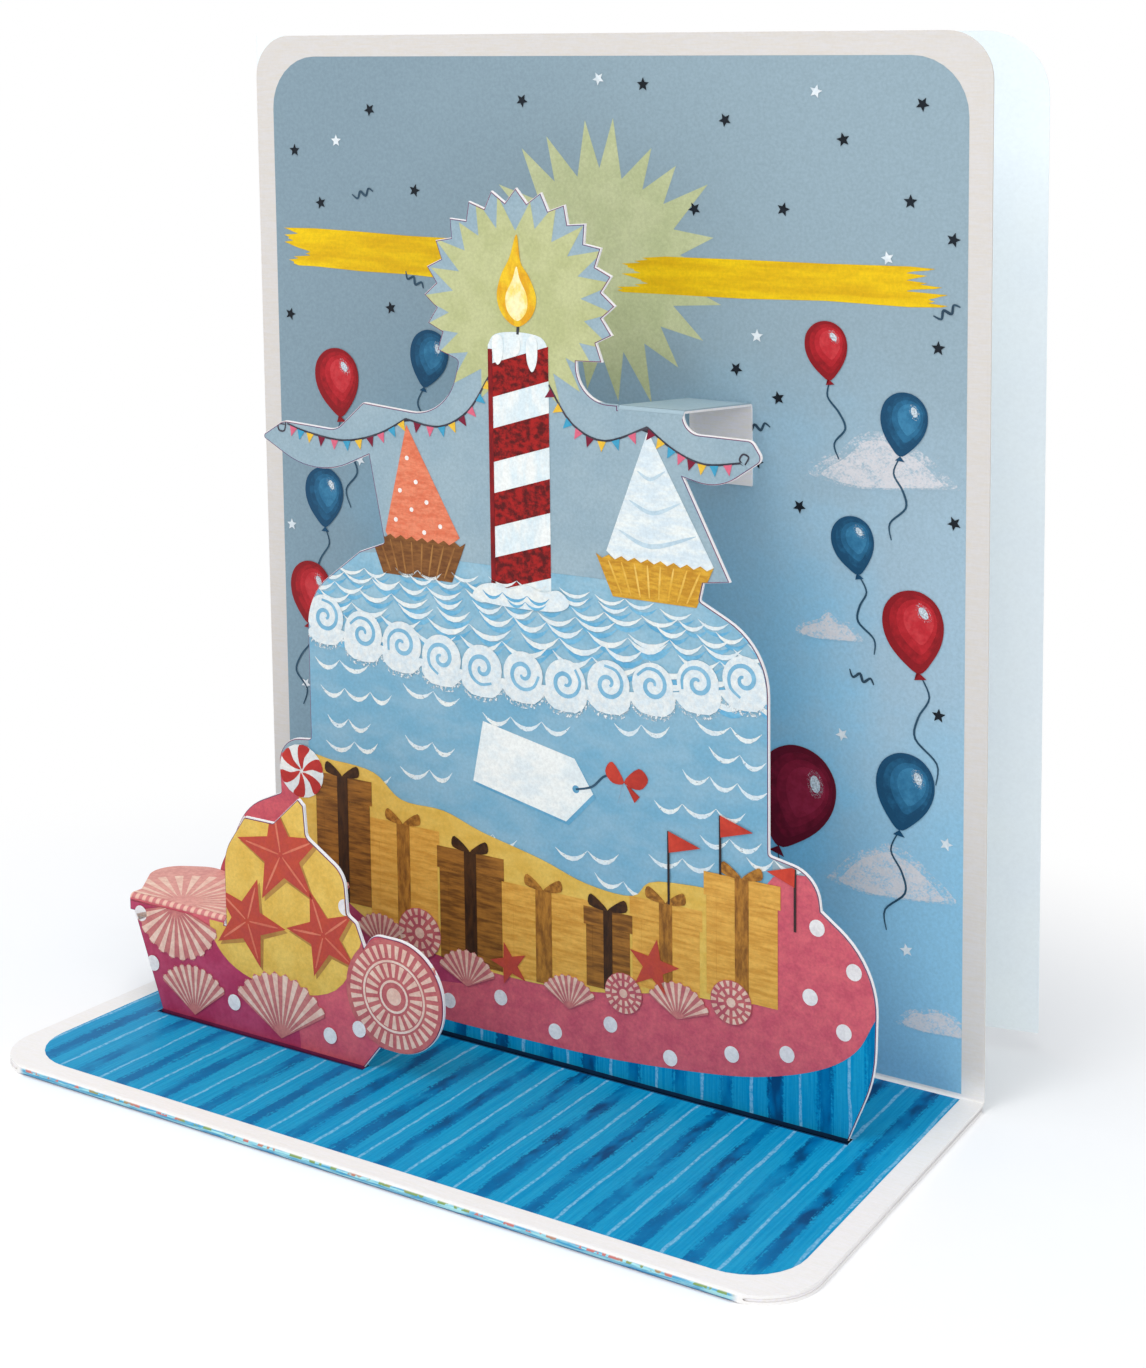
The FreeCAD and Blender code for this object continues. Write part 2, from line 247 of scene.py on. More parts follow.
class Nodes:
    """Adds to a tree of shader nodes, one step of a pattern with each call."""

    def __init__(self, tree):
        self.tree = tree

    def add(self, kind, **settings):
        node = self.tree.nodes.new(kind)
        for name, value in settings.items():
            setattr(node, name, value)
        return node

    def feed(self, value, socket):
        """Links a value to a socket, or sets the socket to a number or a #rrggbb colour."""
        if isinstance(value, Value):
            self.tree.links.new(value.socket, socket)
        else:
            socket.default_value = linear(value) if isinstance(value, str) else value

    def place(self):
        """How far across, back and up a point of the card is, in metres."""
        coordinates = self.add("ShaderNodeTexCoord")
        parts = self.add("ShaderNodeSeparateXYZ")
        self.tree.links.new(coordinates.outputs["Object"], parts.inputs[0])
        return [Value(self, socket) for socket in parts.outputs]

    def noise(self, cell, detail=3.0, rough=0.6, seed=0.0):
        """Soft blotches of about that many millimetres across, up the card and out of it."""
        coordinates = self.add("ShaderNodeTexCoord")
        mapping = self.add("ShaderNodeMapping")
        mapping.inputs["Location"].default_value = (seed, seed * 0.7, 0)
        mapping.inputs["Rotation"].default_value = (-LEAN, 0, 0)
        mapping.inputs["Scale"].default_value = tuple(1000 / c for c in cell)
        texture = self.add("ShaderNodeTexNoise")
        for name, number in (("Scale", 1.0), ("Detail", detail), ("Roughness", rough)):
            texture.inputs[name].default_value = number
        self.tree.links.new(coordinates.outputs["Object"], mapping.inputs[0])
        self.tree.links.new(mapping.outputs[0], texture.inputs["Vector"])
        return Value(self, texture.outputs[0])

    def mix(self, share, first, second):
        """From the first colour to the second as the share goes from 0 to 1."""
        node = self.add("ShaderNodeMix", data_type="RGBA")
        for number, value in ((0, share), (6, first), (7, second)):
            self.feed(value, node.inputs[number])
        return Value(self, node.outputs[2])

    def card_colour(self, edge_tint="#edeaf0", face_tint="#ece7e0"):
        """White card whose tone wanders with its fibres between a warmer and a cooler white."""
        fibres = self.noise((3.0, 0.4, 0.4), 5.0, 0.7)
        return self.mix(fibres.rising(0.3, 0.7), face_tint, edge_tint)

    def in_sight(self):
        """One where a thing is seen straight, in a reflection or through glass."""
        rays = self.add("ShaderNodeLightPath").outputs
        straight, mirrored, through = (Value(self, rays["Is %s Ray" % kind])
                                       for kind in ("Camera", "Glossy", "Transmission"))
        return straight.highest(mirrored).highest(through)

    def blend(self, share, first, second, output):
        """Mixes two shaders by a share and ends the tree with the result."""
        node = self.add("ShaderNodeMixShader")
        self.feed(share, node.inputs[0])
        self.tree.links.new(first.outputs[0], node.inputs[1])
        self.tree.links.new(second.outputs[0], node.inputs[2])
        self.tree.links.new(node.outputs[0], output.inputs[0])


class Finish(Nodes):
    """A new material for the card."""

    def __init__(self, name):
        self.material = bpy.data.materials.new(name)
        self.material.use_nodes = True
        super().__init__(self.material.node_tree)
        self.tree.nodes.clear()
        self.output = self.add("ShaderNodeOutputMaterial")
        self.shader = self.add("ShaderNodeBsdfPrincipled")
        self.tree.links.new(self.shader.outputs[0], self.output.inputs[0])

    def surface(self, roughness, specular):
        self.shader.inputs["Roughness"].default_value = roughness
        self.shader.inputs["Specular IOR Level"].default_value = specular

    def card(self, colour, relief, roughness, tint=0.05, tooth=0.55, specular=0.22):
        """Ends a finish: the fine grain of printed card, in its colour and its surface."""
        grain = self.noise((tooth, tooth, tooth), 4.0, 0.7)
        tinted = self.add("ShaderNodeVectorMath", operation="SCALE")
        self.feed(colour, tinted.inputs[0])
        self.feed(grain.rising(0.25, 0.75, 1 - tint, 1 + tint), tinted.inputs[3])
        bump = self.add("ShaderNodeBump")
        bump.inputs["Strength"].default_value = relief
        bump.inputs["Distance"].default_value = 0.04 * MM
        self.feed(grain, bump.inputs["Height"])
        self.tree.links.new(tinted.outputs[0], self.shader.inputs["Base Color"])
        self.tree.links.new(bump.outputs[0], self.shader.inputs["Normal"])
        self.surface(roughness, specular)
        return self.material


def ink(name, colour, second=None, cell=(5, 5, 5), spread=0.16, tint=0.09):
    """Printed colour that wanders between two tones, as painted artwork does."""
    if name in bpy.data.materials:
        return bpy.data.materials[name]
    finish = Finish(name)
    blotches = finish.noise(cell, 3.0, 0.65)
    tone = finish.mix(blotches.rising(0.5 - spread, 0.5 + spread), colour, second or colour)
    return finish.card(tone, 0.25, 0.5, tint)


def dry(material, grain, low, high):
    """Leaves gaps in a finish where its brush or spray ran dry."""
    nodes = Nodes(material.node_tree)
    gaps = nodes.noise(grain, 3.0, 0.7, 2.0).rising(low, high)
    nodes.feed(gaps, nodes.tree.nodes["Principled BSDF"].inputs["Alpha"])
    return material


# Pieces

def only(piece):
    bpy.ops.object.select_all(action="DESELECT")
    piece.select_set(True)
    bpy.context.view_layer.objects.active = piece


def cut_with(piece, cutter):
    """Keeps what of a piece lies inside the cutter."""
    only(piece)
    modifier = piece.modifiers.new("trim", "BOOLEAN")
    modifier.operation = "INTERSECT"
    modifier.solver = "EXACT"
    modifier.object = cutter
    bpy.ops.object.modifier_apply(modifier="trim")


def flat_plate(name, outlines, thickness):
    """Closed outlines drawn as a flat curve and made a thin closed plate."""
    bpy.ops.object.select_all(action="DESELECT")
    bpy.ops.curve.primitive_bezier_circle_add(radius=1)
    plate = bpy.context.object
    plate.name = name
    curve = plate.data
    curve.dimensions = "2D"
    curve.fill_mode = "BOTH"
    curve.extrude = thickness / 2
    curve.splines.clear()
    for outline in outlines:
        spline = curve.splines.new("POLY")
        spline.points.add(len(outline) - 1)
        for point, (x, y) in zip(spline.points, outline):
            point.co = (x, y, 0, 1)
        spline.use_cyclic_u = True
    bpy.ops.object.convert(target="MESH")
    plate = bpy.context.object
    bpy.ops.object.mode_set(mode="EDIT")
    bpy.ops.mesh.select_all(action="SELECT")
    bpy.ops.mesh.remove_doubles(threshold=0.0005)
    bpy.ops.mesh.normals_make_consistent(inside=False)
    bpy.ops.object.mode_set(mode="OBJECT")
    return plate


def give(piece, finish):
    """Finishes a piece and has it ride on the card in its slot."""
    piece.data.materials.clear()
    piece.data.materials.append(finish)
    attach(piece, "root")


def printed(name, face, level, outlines, finish, trim=None):
    """Lays outlines on a face of the card as one film of ink, some films up from it."""
    film = flat_plate(name, outlines, INK)
    film.data.transform(Matrix.Translation((0, 0, level * INK_STEP)))
    if trim is not None:
        cut_with(film, trim)
    if not film.data.polygons:
        raise RuntimeError(name + " lies outside the printed face")
    film.data.transform(face)
    give(film, finish)


trims = {}


def on_back(name, level, outlines, finish):
    """Prints on the back panel, inside its sky field."""
    printed(name, BACK, level, outlines, finish, trims["back"])


def on_base(name, level, outlines, finish):
    """Prints on the base."""
    printed(name, BASE, level, outlines, finish)


def on_cake(name, level, outlines, finish):
    """Prints on the large layer, inside its cut edge."""
    printed(name, CAKE, level, outlines, finish, trims["cake"])


def on_front(name, level, outlines, finish):
    """Prints on the small layer, inside its cut edge."""
    printed(name, FRONT, level, outlines, finish, trims["front"])


def cut_outline(node, face):
    """The cut edge of a CAD node's printed face, in that face's own millimetres."""
    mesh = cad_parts[node].data.copy()
    mesh.transform(face.inverted())
    edges = set()
    for polygon in mesh.polygons:
        if polygon.normal.z > 0.99 and abs(polygon.center.z) < 0.03:
            corners = [mesh.vertices[i].co for i in polygon.vertices]
            keys = [(round(c.x, 2), round(c.y, 2)) for c in corners]
            edges.update(zip(keys, keys[1:] + keys[:1]))
    bpy.data.meshes.remove(mesh)
    following = {start: end for start, end in edges if (end, start) not in edges and start != end}
    loops = []
    while following:
        loop = [next(iter(sorted(following)))]
        while loop[-1] in following:
            loop.append(following.pop(loop[-1]))
        loops.append(loop[:-1])
    return max(loops, key=len)


def drawn_in(outline, margin, shift=(0, 0)):
    """An outline moved inside itself by a margin, and then a little to one side."""
    kept = []
    for point in outline:
        if not kept or math.dist(point, kept[-1]) > 0.12:
            kept.append(point)
    result = []
    for i, (x, y) in enumerate(kept):
        ax, ay = kept[i - 1]
        bx, by = kept[(i + 1) % len(kept)]
        one = Vector((ay - y, x - ax)).normalized()
        two = Vector((y - by, bx - x)).normalized()
        move = (one + two) / max(1 + one.dot(two), 0.35) * margin
        result.append((x + move.x + shift[0], y + move.y + shift[1]))
    return result


# Sizes and colours that a user would change

class CardPrint(bpy.types.PropertyGroup):
    border: bpy.props.FloatProperty(
        name="White border", description="Unprinted edge round the back panel and the base",
        default=0.004, min=0.0, max=0.02, unit="LENGTH")
    print_corner: bpy.props.FloatProperty(
        name="Print corner", description="Radius of the printed fields' corners",
        default=0.010, min=0.0, max=0.03, unit="LENGTH")
    stripe_pitch: bpy.props.FloatProperty(
        name="Stripe pitch", description="From one pale line of the base to the next",
        default=0.0088, min=0.002, max=0.03, unit="LENGTH")
    dot_radius: bpy.props.FloatProperty(
        name="Dot radius", description="Radius of the white dots on the pink board",
        default=0.00135, min=0.0005, max=0.004, unit="LENGTH")
    sky: bpy.props.StringProperty(
        name="Sky", description="Sky of the back panel at its upper left", default="#849aa6")
    # Painted shadow: the colour of the large layer's shade on the back panel, low behind the cake
    cake_shadow_sky: bpy.props.StringProperty(
        name="Deep sky", description="Sky of the back panel low behind the cake", default="#80c6e8")
    light_sky: bpy.props.StringProperty(
        name="Light sky", description="Sky of the back panel towards its right", default="#94aab5")
    near_sky: bpy.props.StringProperty(
        name="Near sky", description="Sky printed on the large layer", default="#9bb1bb")
    tier_blue: bpy.props.StringProperty(
        name="Cake blue", description="Icing blue of the cake's side", default="#8bb3c7")
    board_pink: bpy.props.StringProperty(
        name="Board pink", description="The spotted board under the cake", default="#d9656f")
    gold: bpy.props.StringProperty(
        name="Gold", description="Yellow ground and gift boxes", default="#e6bf5e")
    coral: bpy.props.StringProperty(
        name="Coral", description="Five-pointed stars", default="#c04a35")
    banner: bpy.props.StringProperty(
        name="Banner yellow", description="Brushed yellow bands on the back panel", default="#f0c80c")


class CameraPlace(bpy.types.PropertyGroup):
    lens: bpy.props.FloatProperty(
        name="Lens", description="Focal length for a 36 mm tall picture",
        default=52.76, min=20, max=200, unit="CAMERA")
    key_power: bpy.props.FloatProperty(
        name="Key light", description="Power of the large soft lamp at the front left",
        default=2.4, min=0, max=50, unit="POWER")
    sky_strength: bpy.props.FloatProperty(
        name="Fill", description="Strength of the plain studio light all round", default=0.62, min=0, max=3)


def mm(value):
    """A setting in metres as millimetres."""
    return value / MM


# Finishes of the card stock and of the large printed fields

def plain_card(name):
    finish = Finish(name)
    return finish.card(finish.card_colour(), 0.2, 0.55, 0.02)


def striped_blue(name, seed):
    """The blue of base and skirt: brushed darker bands between thin pale lines."""
    finish = Finish(name)
    across, back, _ = finish.place()
    waver = finish.noise((2.2, 9, 9), 3.0, 0.7, seed)
    sway = finish.noise((14, 45, 45), 2.0, 0.5, seed + 3)
    bristles = finish.noise((0.35, 14, 14), 3.0, 0.7, seed + 1)
    patches = finish.noise((3.2, 10, 10), 2.0, 0.6, seed + 2)
    grit = finish.noise((0.6, 0.7, 0.7), 3.0, 0.75, seed + 5)
    wandering = across + (waver - 0.5) * 0.0011 + (sway - 0.5) * 0.0012
    share = (wandering / bpy.context.scene.card_print.stripe_pitch + 100.0).worked("FRACT")
    from_middle = abs(share - 0.5)

    blue = finish.mix(bristles.rising(0.3, 0.7), "#008bbe", "#1e9cc7")
    ragged = bristles * 0.24 + grit * 0.3
    band = (from_middle - 0.27 + ragged).falling(0.1, 0.18) * patches.rising(0.28, 0.55, 0.35, 1.0)
    banded = finish.mix(band, blue, "#006ca3")
    near_cake = back.rising(-0.028, -0.012, 0.25, 1.0) * across.rising(-0.05, 0.02, 0.3, 1.0)
    deep = band * (near_cake * patches.rising(0.5, 0.66, 0.0, 0.8))
    deepened = finish.mix(deep, banded, "#0b3a68")
    line = from_middle.rising(0.462, 0.48) * grit.rising(0.35, 0.6, 0.2, 0.85)
    return finish.card(finish.mix(line, deepened, "#86c0df"), 0.25, 0.4, 0.05, specular=0.05)


def folded_layer(name, folds, colours, slot_shade_tone):
    """White card, printed round the outside of its top folds, with painted shade where it sinks into its
    slot.
    """
    middle, reach, level = (size * MM for size in folds)
    finish = Finish(name)
    across, back, height = finish.place()
    out = (abs(back - middle) - reach).highest(0.0)
    above = height - level
    outside = (out * out + above * above).worked("SQRT").rising(0.0006, 0.00066)
    near = above.rising(-0.0002, 0.0) * above.falling(0.0009, 0.001)
    ribs = (across * 3900.0).worked("SINE").rising(-0.3, 0.3)
    printed_bend = finish.mix(outside * near, finish.card_colour(), finish.mix(ribs, *colours))
    # Painted shade: below the base's top the layer is coloured dark, as inside its slot
    sunk_in_shade = height.falling(0.00136, 0.00142)
    return finish.card(finish.mix(sunk_in_shade, printed_bend, slot_shade_tone), 0.2, 0.55, 0.02)


def wrapped_sheet(name):
    """The printed sheet's stock, with the outer print that wraps round its front fold, painted shade on its
    upright panel and painted shade in its slots.
    """
    finish = Finish(name)
    across, back, height = finish.place()
    beside = abs(across)
    streaks = finish.noise((5, 1, 0.25), 3.0, 0.6)
    pale = finish.mix(streaks.rising(0.35, 0.65), "#a7dde0", "#3f97c2")
    darker = finish.mix(height.falling(0.00022, 0.00045), pale, "#0f5e9a")
    spots = finish.noise((1.1, 1.1, 1.1), 1.0, 0.5, 5.0)
    hues = finish.noise((9, 9, 9), 1.0, 0.5, 9.0)
    spot_tone = finish.mix(hues.rising(0.4, 0.6), "#c0706a", "#7d9a5a")
    outer = finish.mix(height.rising(0.00078, 0.0009) * spots.rising(0.5, 0.56), darker, spot_tone)
    straight_fold = beside.falling(0.0655, 0.0670)
    round_front = back.falling(-0.03872, -0.03866) * straight_fold * height.falling(0.00105, 0.00125)
    under = height.falling(0.00002, 0.00006) * straight_fold

    # Painted shade: the base's inner faces between its plies and in its slots are dark, deep blue at the
    # small layer's slot and near black at the large layer's
    between_plies = height.rising(0.0001, 0.0002) * height.falling(0.00136, 0.00139)
    inside = between_plies * (beside.falling(0.066, 0.067) * back.rising(-0.033, -0.032))
    # Painted shade: the upright back panel's white is darker than the level base's, as the panel gets less
    # light from above
    low = finish.card_colour("#f2f0f0", "#efece7")
    high = finish.card_colour("#dad6d4", "#d8d1c8")
    stock = finish.mix(height.rising(0.0016, 0.008), low, high)
    slot = finish.mix(back.rising(0.002, 0.004), "#14527f", "#0a1724")
    card = finish.mix(inside, stock, slot)
    return finish.card(finish.mix(round_front.highest(under), card, outer), 0.2, 0.5, 0.02)


def writing_paper(name):
    """Smooth ice-blue paper with a faint cloudiness."""
    finish = Finish(name)
    clouds = finish.noise((30, 40, 30), 3.0, 0.6)
    tone = finish.mix(clouds.rising(0.3, 0.7), "#f0f8fc", "#f4fbfc")
    return finish.card(tone, 0.2, 0.6, 0.025, 0.7)


def sky_tone(finish, settings):
    """Greyer at the left, lighter at the right, with the large layer's shadow painted in deep blue low
    behind the cake.
    """
    across, _, height = finish.place()
    wander = (finish.noise((26, 18, 20), 4.0, 0.65) - 0.5) * 0.04
    across = across + wander
    height = height + wander
    to_right = across.rising(-0.06, 0.06)
    top = finish.mix(to_right, settings.sky, settings.light_sky)
    upper = finish.mix(to_right * height.falling(0.08, 0.14), top, "#a5bdcb")
    # Painted shadow of the large layer: full behind the cake up to just right of it, fading to the right, to
    # the left and upwards
    beside = across.rising(0.036, 0.066, 1.0, 0.15).highest(height.falling(0.03, 0.09) * 0.65)
    behind = height.falling(0.04, 0.135) * across.rising(-0.065, -0.025, 0.1, 1.0)
    return finish.mix(beside * behind, upper, settings.cake_shadow_sky)


def chalk_finish(name, settings, cover):
    """Soft white chalk over the sky, closed by its cover and grainy in its gaps."""
    finish = Finish(name)
    grain = finish.noise((0.5, 0.4, 0.4), 3.0, 0.75, 4.0)
    puffs = finish.noise((4, 2.4, 2.4), 3.0, 0.6, 7.0)
    amount = (grain * 0.6 + puffs * 0.4).rising(0.62 - cover, 0.78 - cover * 0.8)
    return finish.card(finish.mix(amount, sky_tone(finish, settings), "#d6d5d8"), 0.25, 0.5, 0.06)


class CARD_OT_plain_card(bpy.types.Operator):
    """Finishes the card stock itself: white faces, cut edges, folds and the writing card"""
    bl_idname = "card.plain_card"
    bl_label = "Card stock"

    def execute(self, context):
        near_sky = context.scene.card_print.near_sky
        finishes = {
            # Each layer's last colour is the painted shade inside its slot
            "cake_layer": folded_layer("cake_layer_card", CAKE_FOLDS, (near_sky, near_sky), "#0a1724"),
            "front_layer": folded_layer("front_layer_card", SHELF_FOLDS, ("#e3b6a4", "#c97a7a"), "#14527f"),
            "left_strut": plain_card("white_strut_card"),
            "scene_sheet": wrapped_sheet("white_sheet_card"),
            "writing_card": writing_paper("ice_blue_paper"),
        }
        for name, finish in finishes.items():
            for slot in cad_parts[name].material_slots:
                slot.material = finish
        return {"FINISHED"}


def border_of(context):
    return mm(context.scene.card_print.border)


class CARD_OT_sky(bpy.types.Operator):
    """Prints the sky field of the back panel, with round corners inside the white border"""
    bl_idname = "card.sky"
    bl_label = "Sky field"

    def execute(self, context):
        settings = context.scene.card_print
        border = border_of(context)
        edge = HALF_WIDTH - border
        outline = rounded_box(-edge, edge, 0.75, BACK_HEIGHT - border, 0, mm(settings.print_corner))
        trims["back"] = flat_plate("back_trim", [outline], TRIM)
        finish = Finish("painted_sky")
        paint = finish.card(sky_tone(finish, settings), 0.25, 0.5, 0.08, 0.6)
        printed("sky_field", BACK, 1, [outline], paint)
        return {"FINISHED"}


def burst(x, y, inner, outer, spikes, seed):
    """A sunburst whose spikes differ a little in length and lean."""
    chance = random.Random(seed)
    points = []
    for i in range(spikes):
        a = 2 * math.pi * i / spikes
        reach = outer * chance.uniform(0.86, 1.0)
        lean = chance.uniform(-0.05, 0.05)
        points.append(about(x, y, reach, a + lean))
        points.append(about(x, y, inner * chance.uniform(0.94, 1.06), a + math.pi / spikes))
    return points


def brushed_band(left, right, low, high, drop, seed):
    """A flat brush mark: bristles of uneven length at both ends, sinking by drop to the right."""
    chance = random.Random(seed)
    rows = 11
    step = (high - low) / rows
    ends = []
    for row in range(rows):
        y = low + step * row - drop
        x = right + chance.choice((-5.5, -3, -1.6, -0.4, 0.6))
        ends += [(x - 1.2, y), (x, y + step * 0.5)]
    top = [(right - (right - left) * t, high - drop * (1 - t) + chance.uniform(-0.2, 0.2))
           for t in (0.1, 0.35, 0.6, 0.85)]
    starts = []
    for row in reversed(range(rows)):
        y = low + step * row
        x = left + chance.choice((4.5, 3, 1.6, 0.4, -0.6))
        starts += [(x, y + step * 0.5), (x + 1.2, y)]
    bottom = [(left + (right - left) * t, low - drop * t + chance.uniform(-0.2, 0.2))
              for t in (0.15, 0.4, 0.65, 0.9)]
    return ends + top + starts + bottom


class CARD_OT_banners(bpy.types.Operator):
    """Prints the pale sunburst and the bare brushed yellow bands of the back panel"""
    bl_idname = "card.banners"
    bl_label = "Sunburst and bands"

    def execute(self, context):
        settings = context.scene.card_print
        sun = burst(2.0, 139.0, 16.5, 26.5, 22, 4)
        on_back("back_sunburst", 2, [sun], ink("sunburst_back", "#c4c99d", "#b9c092", (6, 6, 6)))
        bands = [brushed_band(-68.5, -24, 135.6, 143.2, 1.0, 2), brushed_band(6, 67, 134.2, 140.8, -0.6, 5)]
        yellow = ink("brushed_yellow", settings.banner, "#d9aa08", (18, 0.45, 3), 0.2)
        on_back("yellow_bands", 3, bands, yellow)
        return {"FINISHED"}


BALLOON = [(0, -1.32), (0.42, -1.0), (0.82, -0.45), (0.98, 0.15), (0.86, 0.72), (0.48, 1.1), (0, 1.22),
           (-0.48, 1.1), (-0.86, 0.72), (-0.98, 0.15), (-0.82, -0.45), (-0.42, -1.0)]
STRING = [(0, -1.4), (0.15, -2.1), (-0.2, -2.8), (-0.35, -3.5), (0.1, -4.2), (0.0, -4.9)]


class CARD_OT_balloons(bpy.types.Operator):
    """Prints the balloons with their highlights, knots and strings"""
    bl_idname = "card.balloons"
    bl_label = "Balloons"

    def execute(self, context):
        red = [(-57, 113.5, 5.3, 0.1), (-64.8, 71, 5.0, -0.1), (46, 126.5, 4.0, 0.12), (62, 80, 5.6, 0.15)]
        blue = [(-35.5, 119.5, 4.4, -0.2), (-60.8, 90.5, 4.7, 0.0), (60, 115, 4.3, -0.1),
                (51, 93.5, 4.0, 0.2), (60.5, 52, 5.4, -0.12)]
        wine = [(40.0, 47.5, 7.6, -0.3)]
        groups = (("red", red, ("#8d141d", "#ad1c25", "#bf2630", "#cb3a40")),
                  ("blue", blue, ("#16496a", "#205c80", "#2b6d93", "#3a7fa5")),
                  ("wine", wine, ("#5f0a22", "#76122c", "#861934", "#94233f")))
        for name, places, tones in groups:
            for depth, tone in enumerate(tones):
                shrink, drift = 1 - 0.17 * depth, 0.07 * depth
                bodies = [moved(moved(smooth(BALLOON, 4), drift, drift, 0, shrink), x, y, turn, r)
                          for x, y, r, turn in places]
                if depth == 0:
                    bodies += [moved([(-0.2, -1.5), (0.2, -1.5), (0, -1.3)], x, y, turn, r)
                               for x, y, r, turn in places]
                on_back("%s_balloons_%d" % (name, depth + 1), 7 + depth, bodies,
                        ink("%s_balloon_ink_%d" % (name, depth + 1), tone, tones[max(depth - 1, 0)],
                            (2, 2, 2)))
        every = red + blue + wine
        for number, (size, cover) in enumerate(((1.0, 0.45), (0.6, 0.15))):
            shine = dry(ink("balloon_shine_ink_%d" % (number + 1), "#dfe8ed", "#cbd9e2", (1, 1, 1)),
                        (0.3, 0.3, 0.3), cover, 1.0 - 0.35 * number)
            shines = [moved(ellipse(0.4, 0.52, 0.2 * size, 0.34 * size, 0.5, 14), x, y, turn, r)
                      for x, y, r, turn in every]
            on_back("balloon_shines_%d" % (number + 1), 11 + number, shines, shine)
        strings = []
        for number, (x, y, r, turn) in enumerate(every):
            side = 1 if number % 2 else -1
            path = [(x + side * u * r * 1.3 - v * r * math.sin(turn), y + v * r * 0.95) for u, v in STRING]
            strings.append(stroke(path, 0.38, 0.5))
        on_back("balloon_strings", 6, strings, ink("string_ink", "#27495f", "#35566b"))
        return {"FINISHED"}


def cloud(x, y, width, seed):
    """A flat-bottomed chalky cloud with a bumpy top."""
    chance = random.Random(seed)
    half = width / 2
    top = []
    for i in range(7):
        share = i / 6
        rise = width * (0.07 + 0.26 * math.sin(math.pi * share)) * chance.uniform(0.75, 1.2)
        top.append((x + half * (1 - 2 * share), y + rise))
    low = [(x - half * 1.05, y - 0.3), (x - half * 0.4, y - width * 0.07),
           (x + half * 0.3, y - width * 0.05), (x + half * 1.05, y - 0.2)]
    return smooth(low + top, 4)


class CARD_OT_sky_marks(bpy.types.Operator):
    """Prints the clouds, small stars and paper curls of the sky"""
    bl_idname = "card.sky_marks"
    bl_label = "Clouds and stars"

    def execute(self, context):
        clouds = [(56, 105, 25, 3), (46.5, 77, 12, 8), (58, 34, 22, 5), (66, 11, 13, 6)]
        for number, (scale, cover) in enumerate(((1.12, 0.06), (0.98, 0.17), (0.8, 0.3))):
            chalk = chalk_finish("cloud_chalk_%d" % (number + 1), context.scene.card_print, cover)
            shapes = [moved(cloud(0, 0, width, seed), x, y, 0, scale) for x, y, width, seed in clouds]
            on_back("clouds_%d" % (number + 1), 2 + number, shapes, chalk)

        black = [(-66, 158), (-48, 166), (-38, 151), (-60, 148), (-14, 168), (11, 171), (27, 165),
                 (38, 150), (49, 162), (63, 168), (61, 152), (21, 149.5), (68.5, 146), (37, 117.5),
                 (29, 122), (66, 128), (69, 99), (-68, 126), (-44, 128.5), (41, 99), (66.5, 66), (52, 18),
                 (33, 106), (-69, 103)]
        white = [(-56, 160), (2, 172), (44, 170), (57, 142.5), (-47, 104), (-69, 84), (49, 60), (68, 44),
                 (61, 24), (-66.5, 52), (33, 128), (-52, 98.5)]
        for name, places, radius, finish in (
                ("black_stars", black, 1.25, ink("star_black", "#0a1119", "#131c26")),
                ("white_stars", white, 1.2, ink("star_white", "#e9eef0", "#d5e0e6"))):
            stars = [star(x, y, radius, 0.45, 5, 0.5 * i) for i, (x, y) in enumerate(places)]
            on_back(name, 5, stars, finish)

        curls = []
        for x, y, turn in ((-50, 150, 0.3), (-38.5, 134, -0.5), (33, 112, 0.2), (52.5, 70.5, -0.3),
                           (67.5, 134, 0.5)):
            path = [(-2.4, 0.6), (-1.4, -0.5), (-0.4, 0.6), (0.6, -0.5), (1.6, 0.6), (2.5, -0.2)]
            curls.append(stroke(moved(path, x, y, turn), 0.5, 0.6))
        on_back("paper_curls", 5, curls, ink("curl_ink", "#2c4354", "#3b5668"))
        return {"FINISHED"}


class CARD_OT_base_print(bpy.types.Operator):
    """Prints the striped blue field of the base, open over the layers' slots"""
    bl_idname = "card.base_print"
    bl_label = "Striped base"

    def execute(self, context):
        border = border_of(context)
        edge = HALF_WIDTH - border
        corner = mm(context.scene.card_print.print_corner)
        field = [rounded_box(-edge, edge, -CREASE_Y + border + 0.2, CREASE_Y - 0.75, corner, 0)]
        shades = (("cake", CAKE_OFFSET, CAKE_SLOT, 1.65, ("#0f3355", "#14426a")),
                  ("front", FRONT_OFFSET, FRONT_SLOT, 1.55, ("#155a8d", "#1b679c")))
        for _, offset, (left, right), _, _ in shades:
            face = CREASE_Y - offset
            field.append(box(left, right, face - 1.32, face + 0.9))
        on_base("striped_field", 1, field, striped_blue("striped_base_blue", 0.0))
        ring = [drawn_in(cut_outline("scene_sheet", BASE), 0.06),
                rounded_box(-72.5, 72.5, -36.0, 36.0, 8, 0)]
        plies = flat_plate("base_ply_edges", ring, PLY_EDGE)
        plies.data.transform(level_face(BASE_TOP / 2))
        give(plies, plain_card("white_ply_card"))
        for name, offset, (left, right), reach, tones in shades:
            face = CREASE_Y - offset
            shade = [box(left - 0.1, right + 0.1, face - reach, face - 1.3)]
            on_base(name + "_slot_shade", 2, shade, ink(name + "_slot_shade_ink", *tones, (2, 2, 2)))
        return {"FINISHED"}


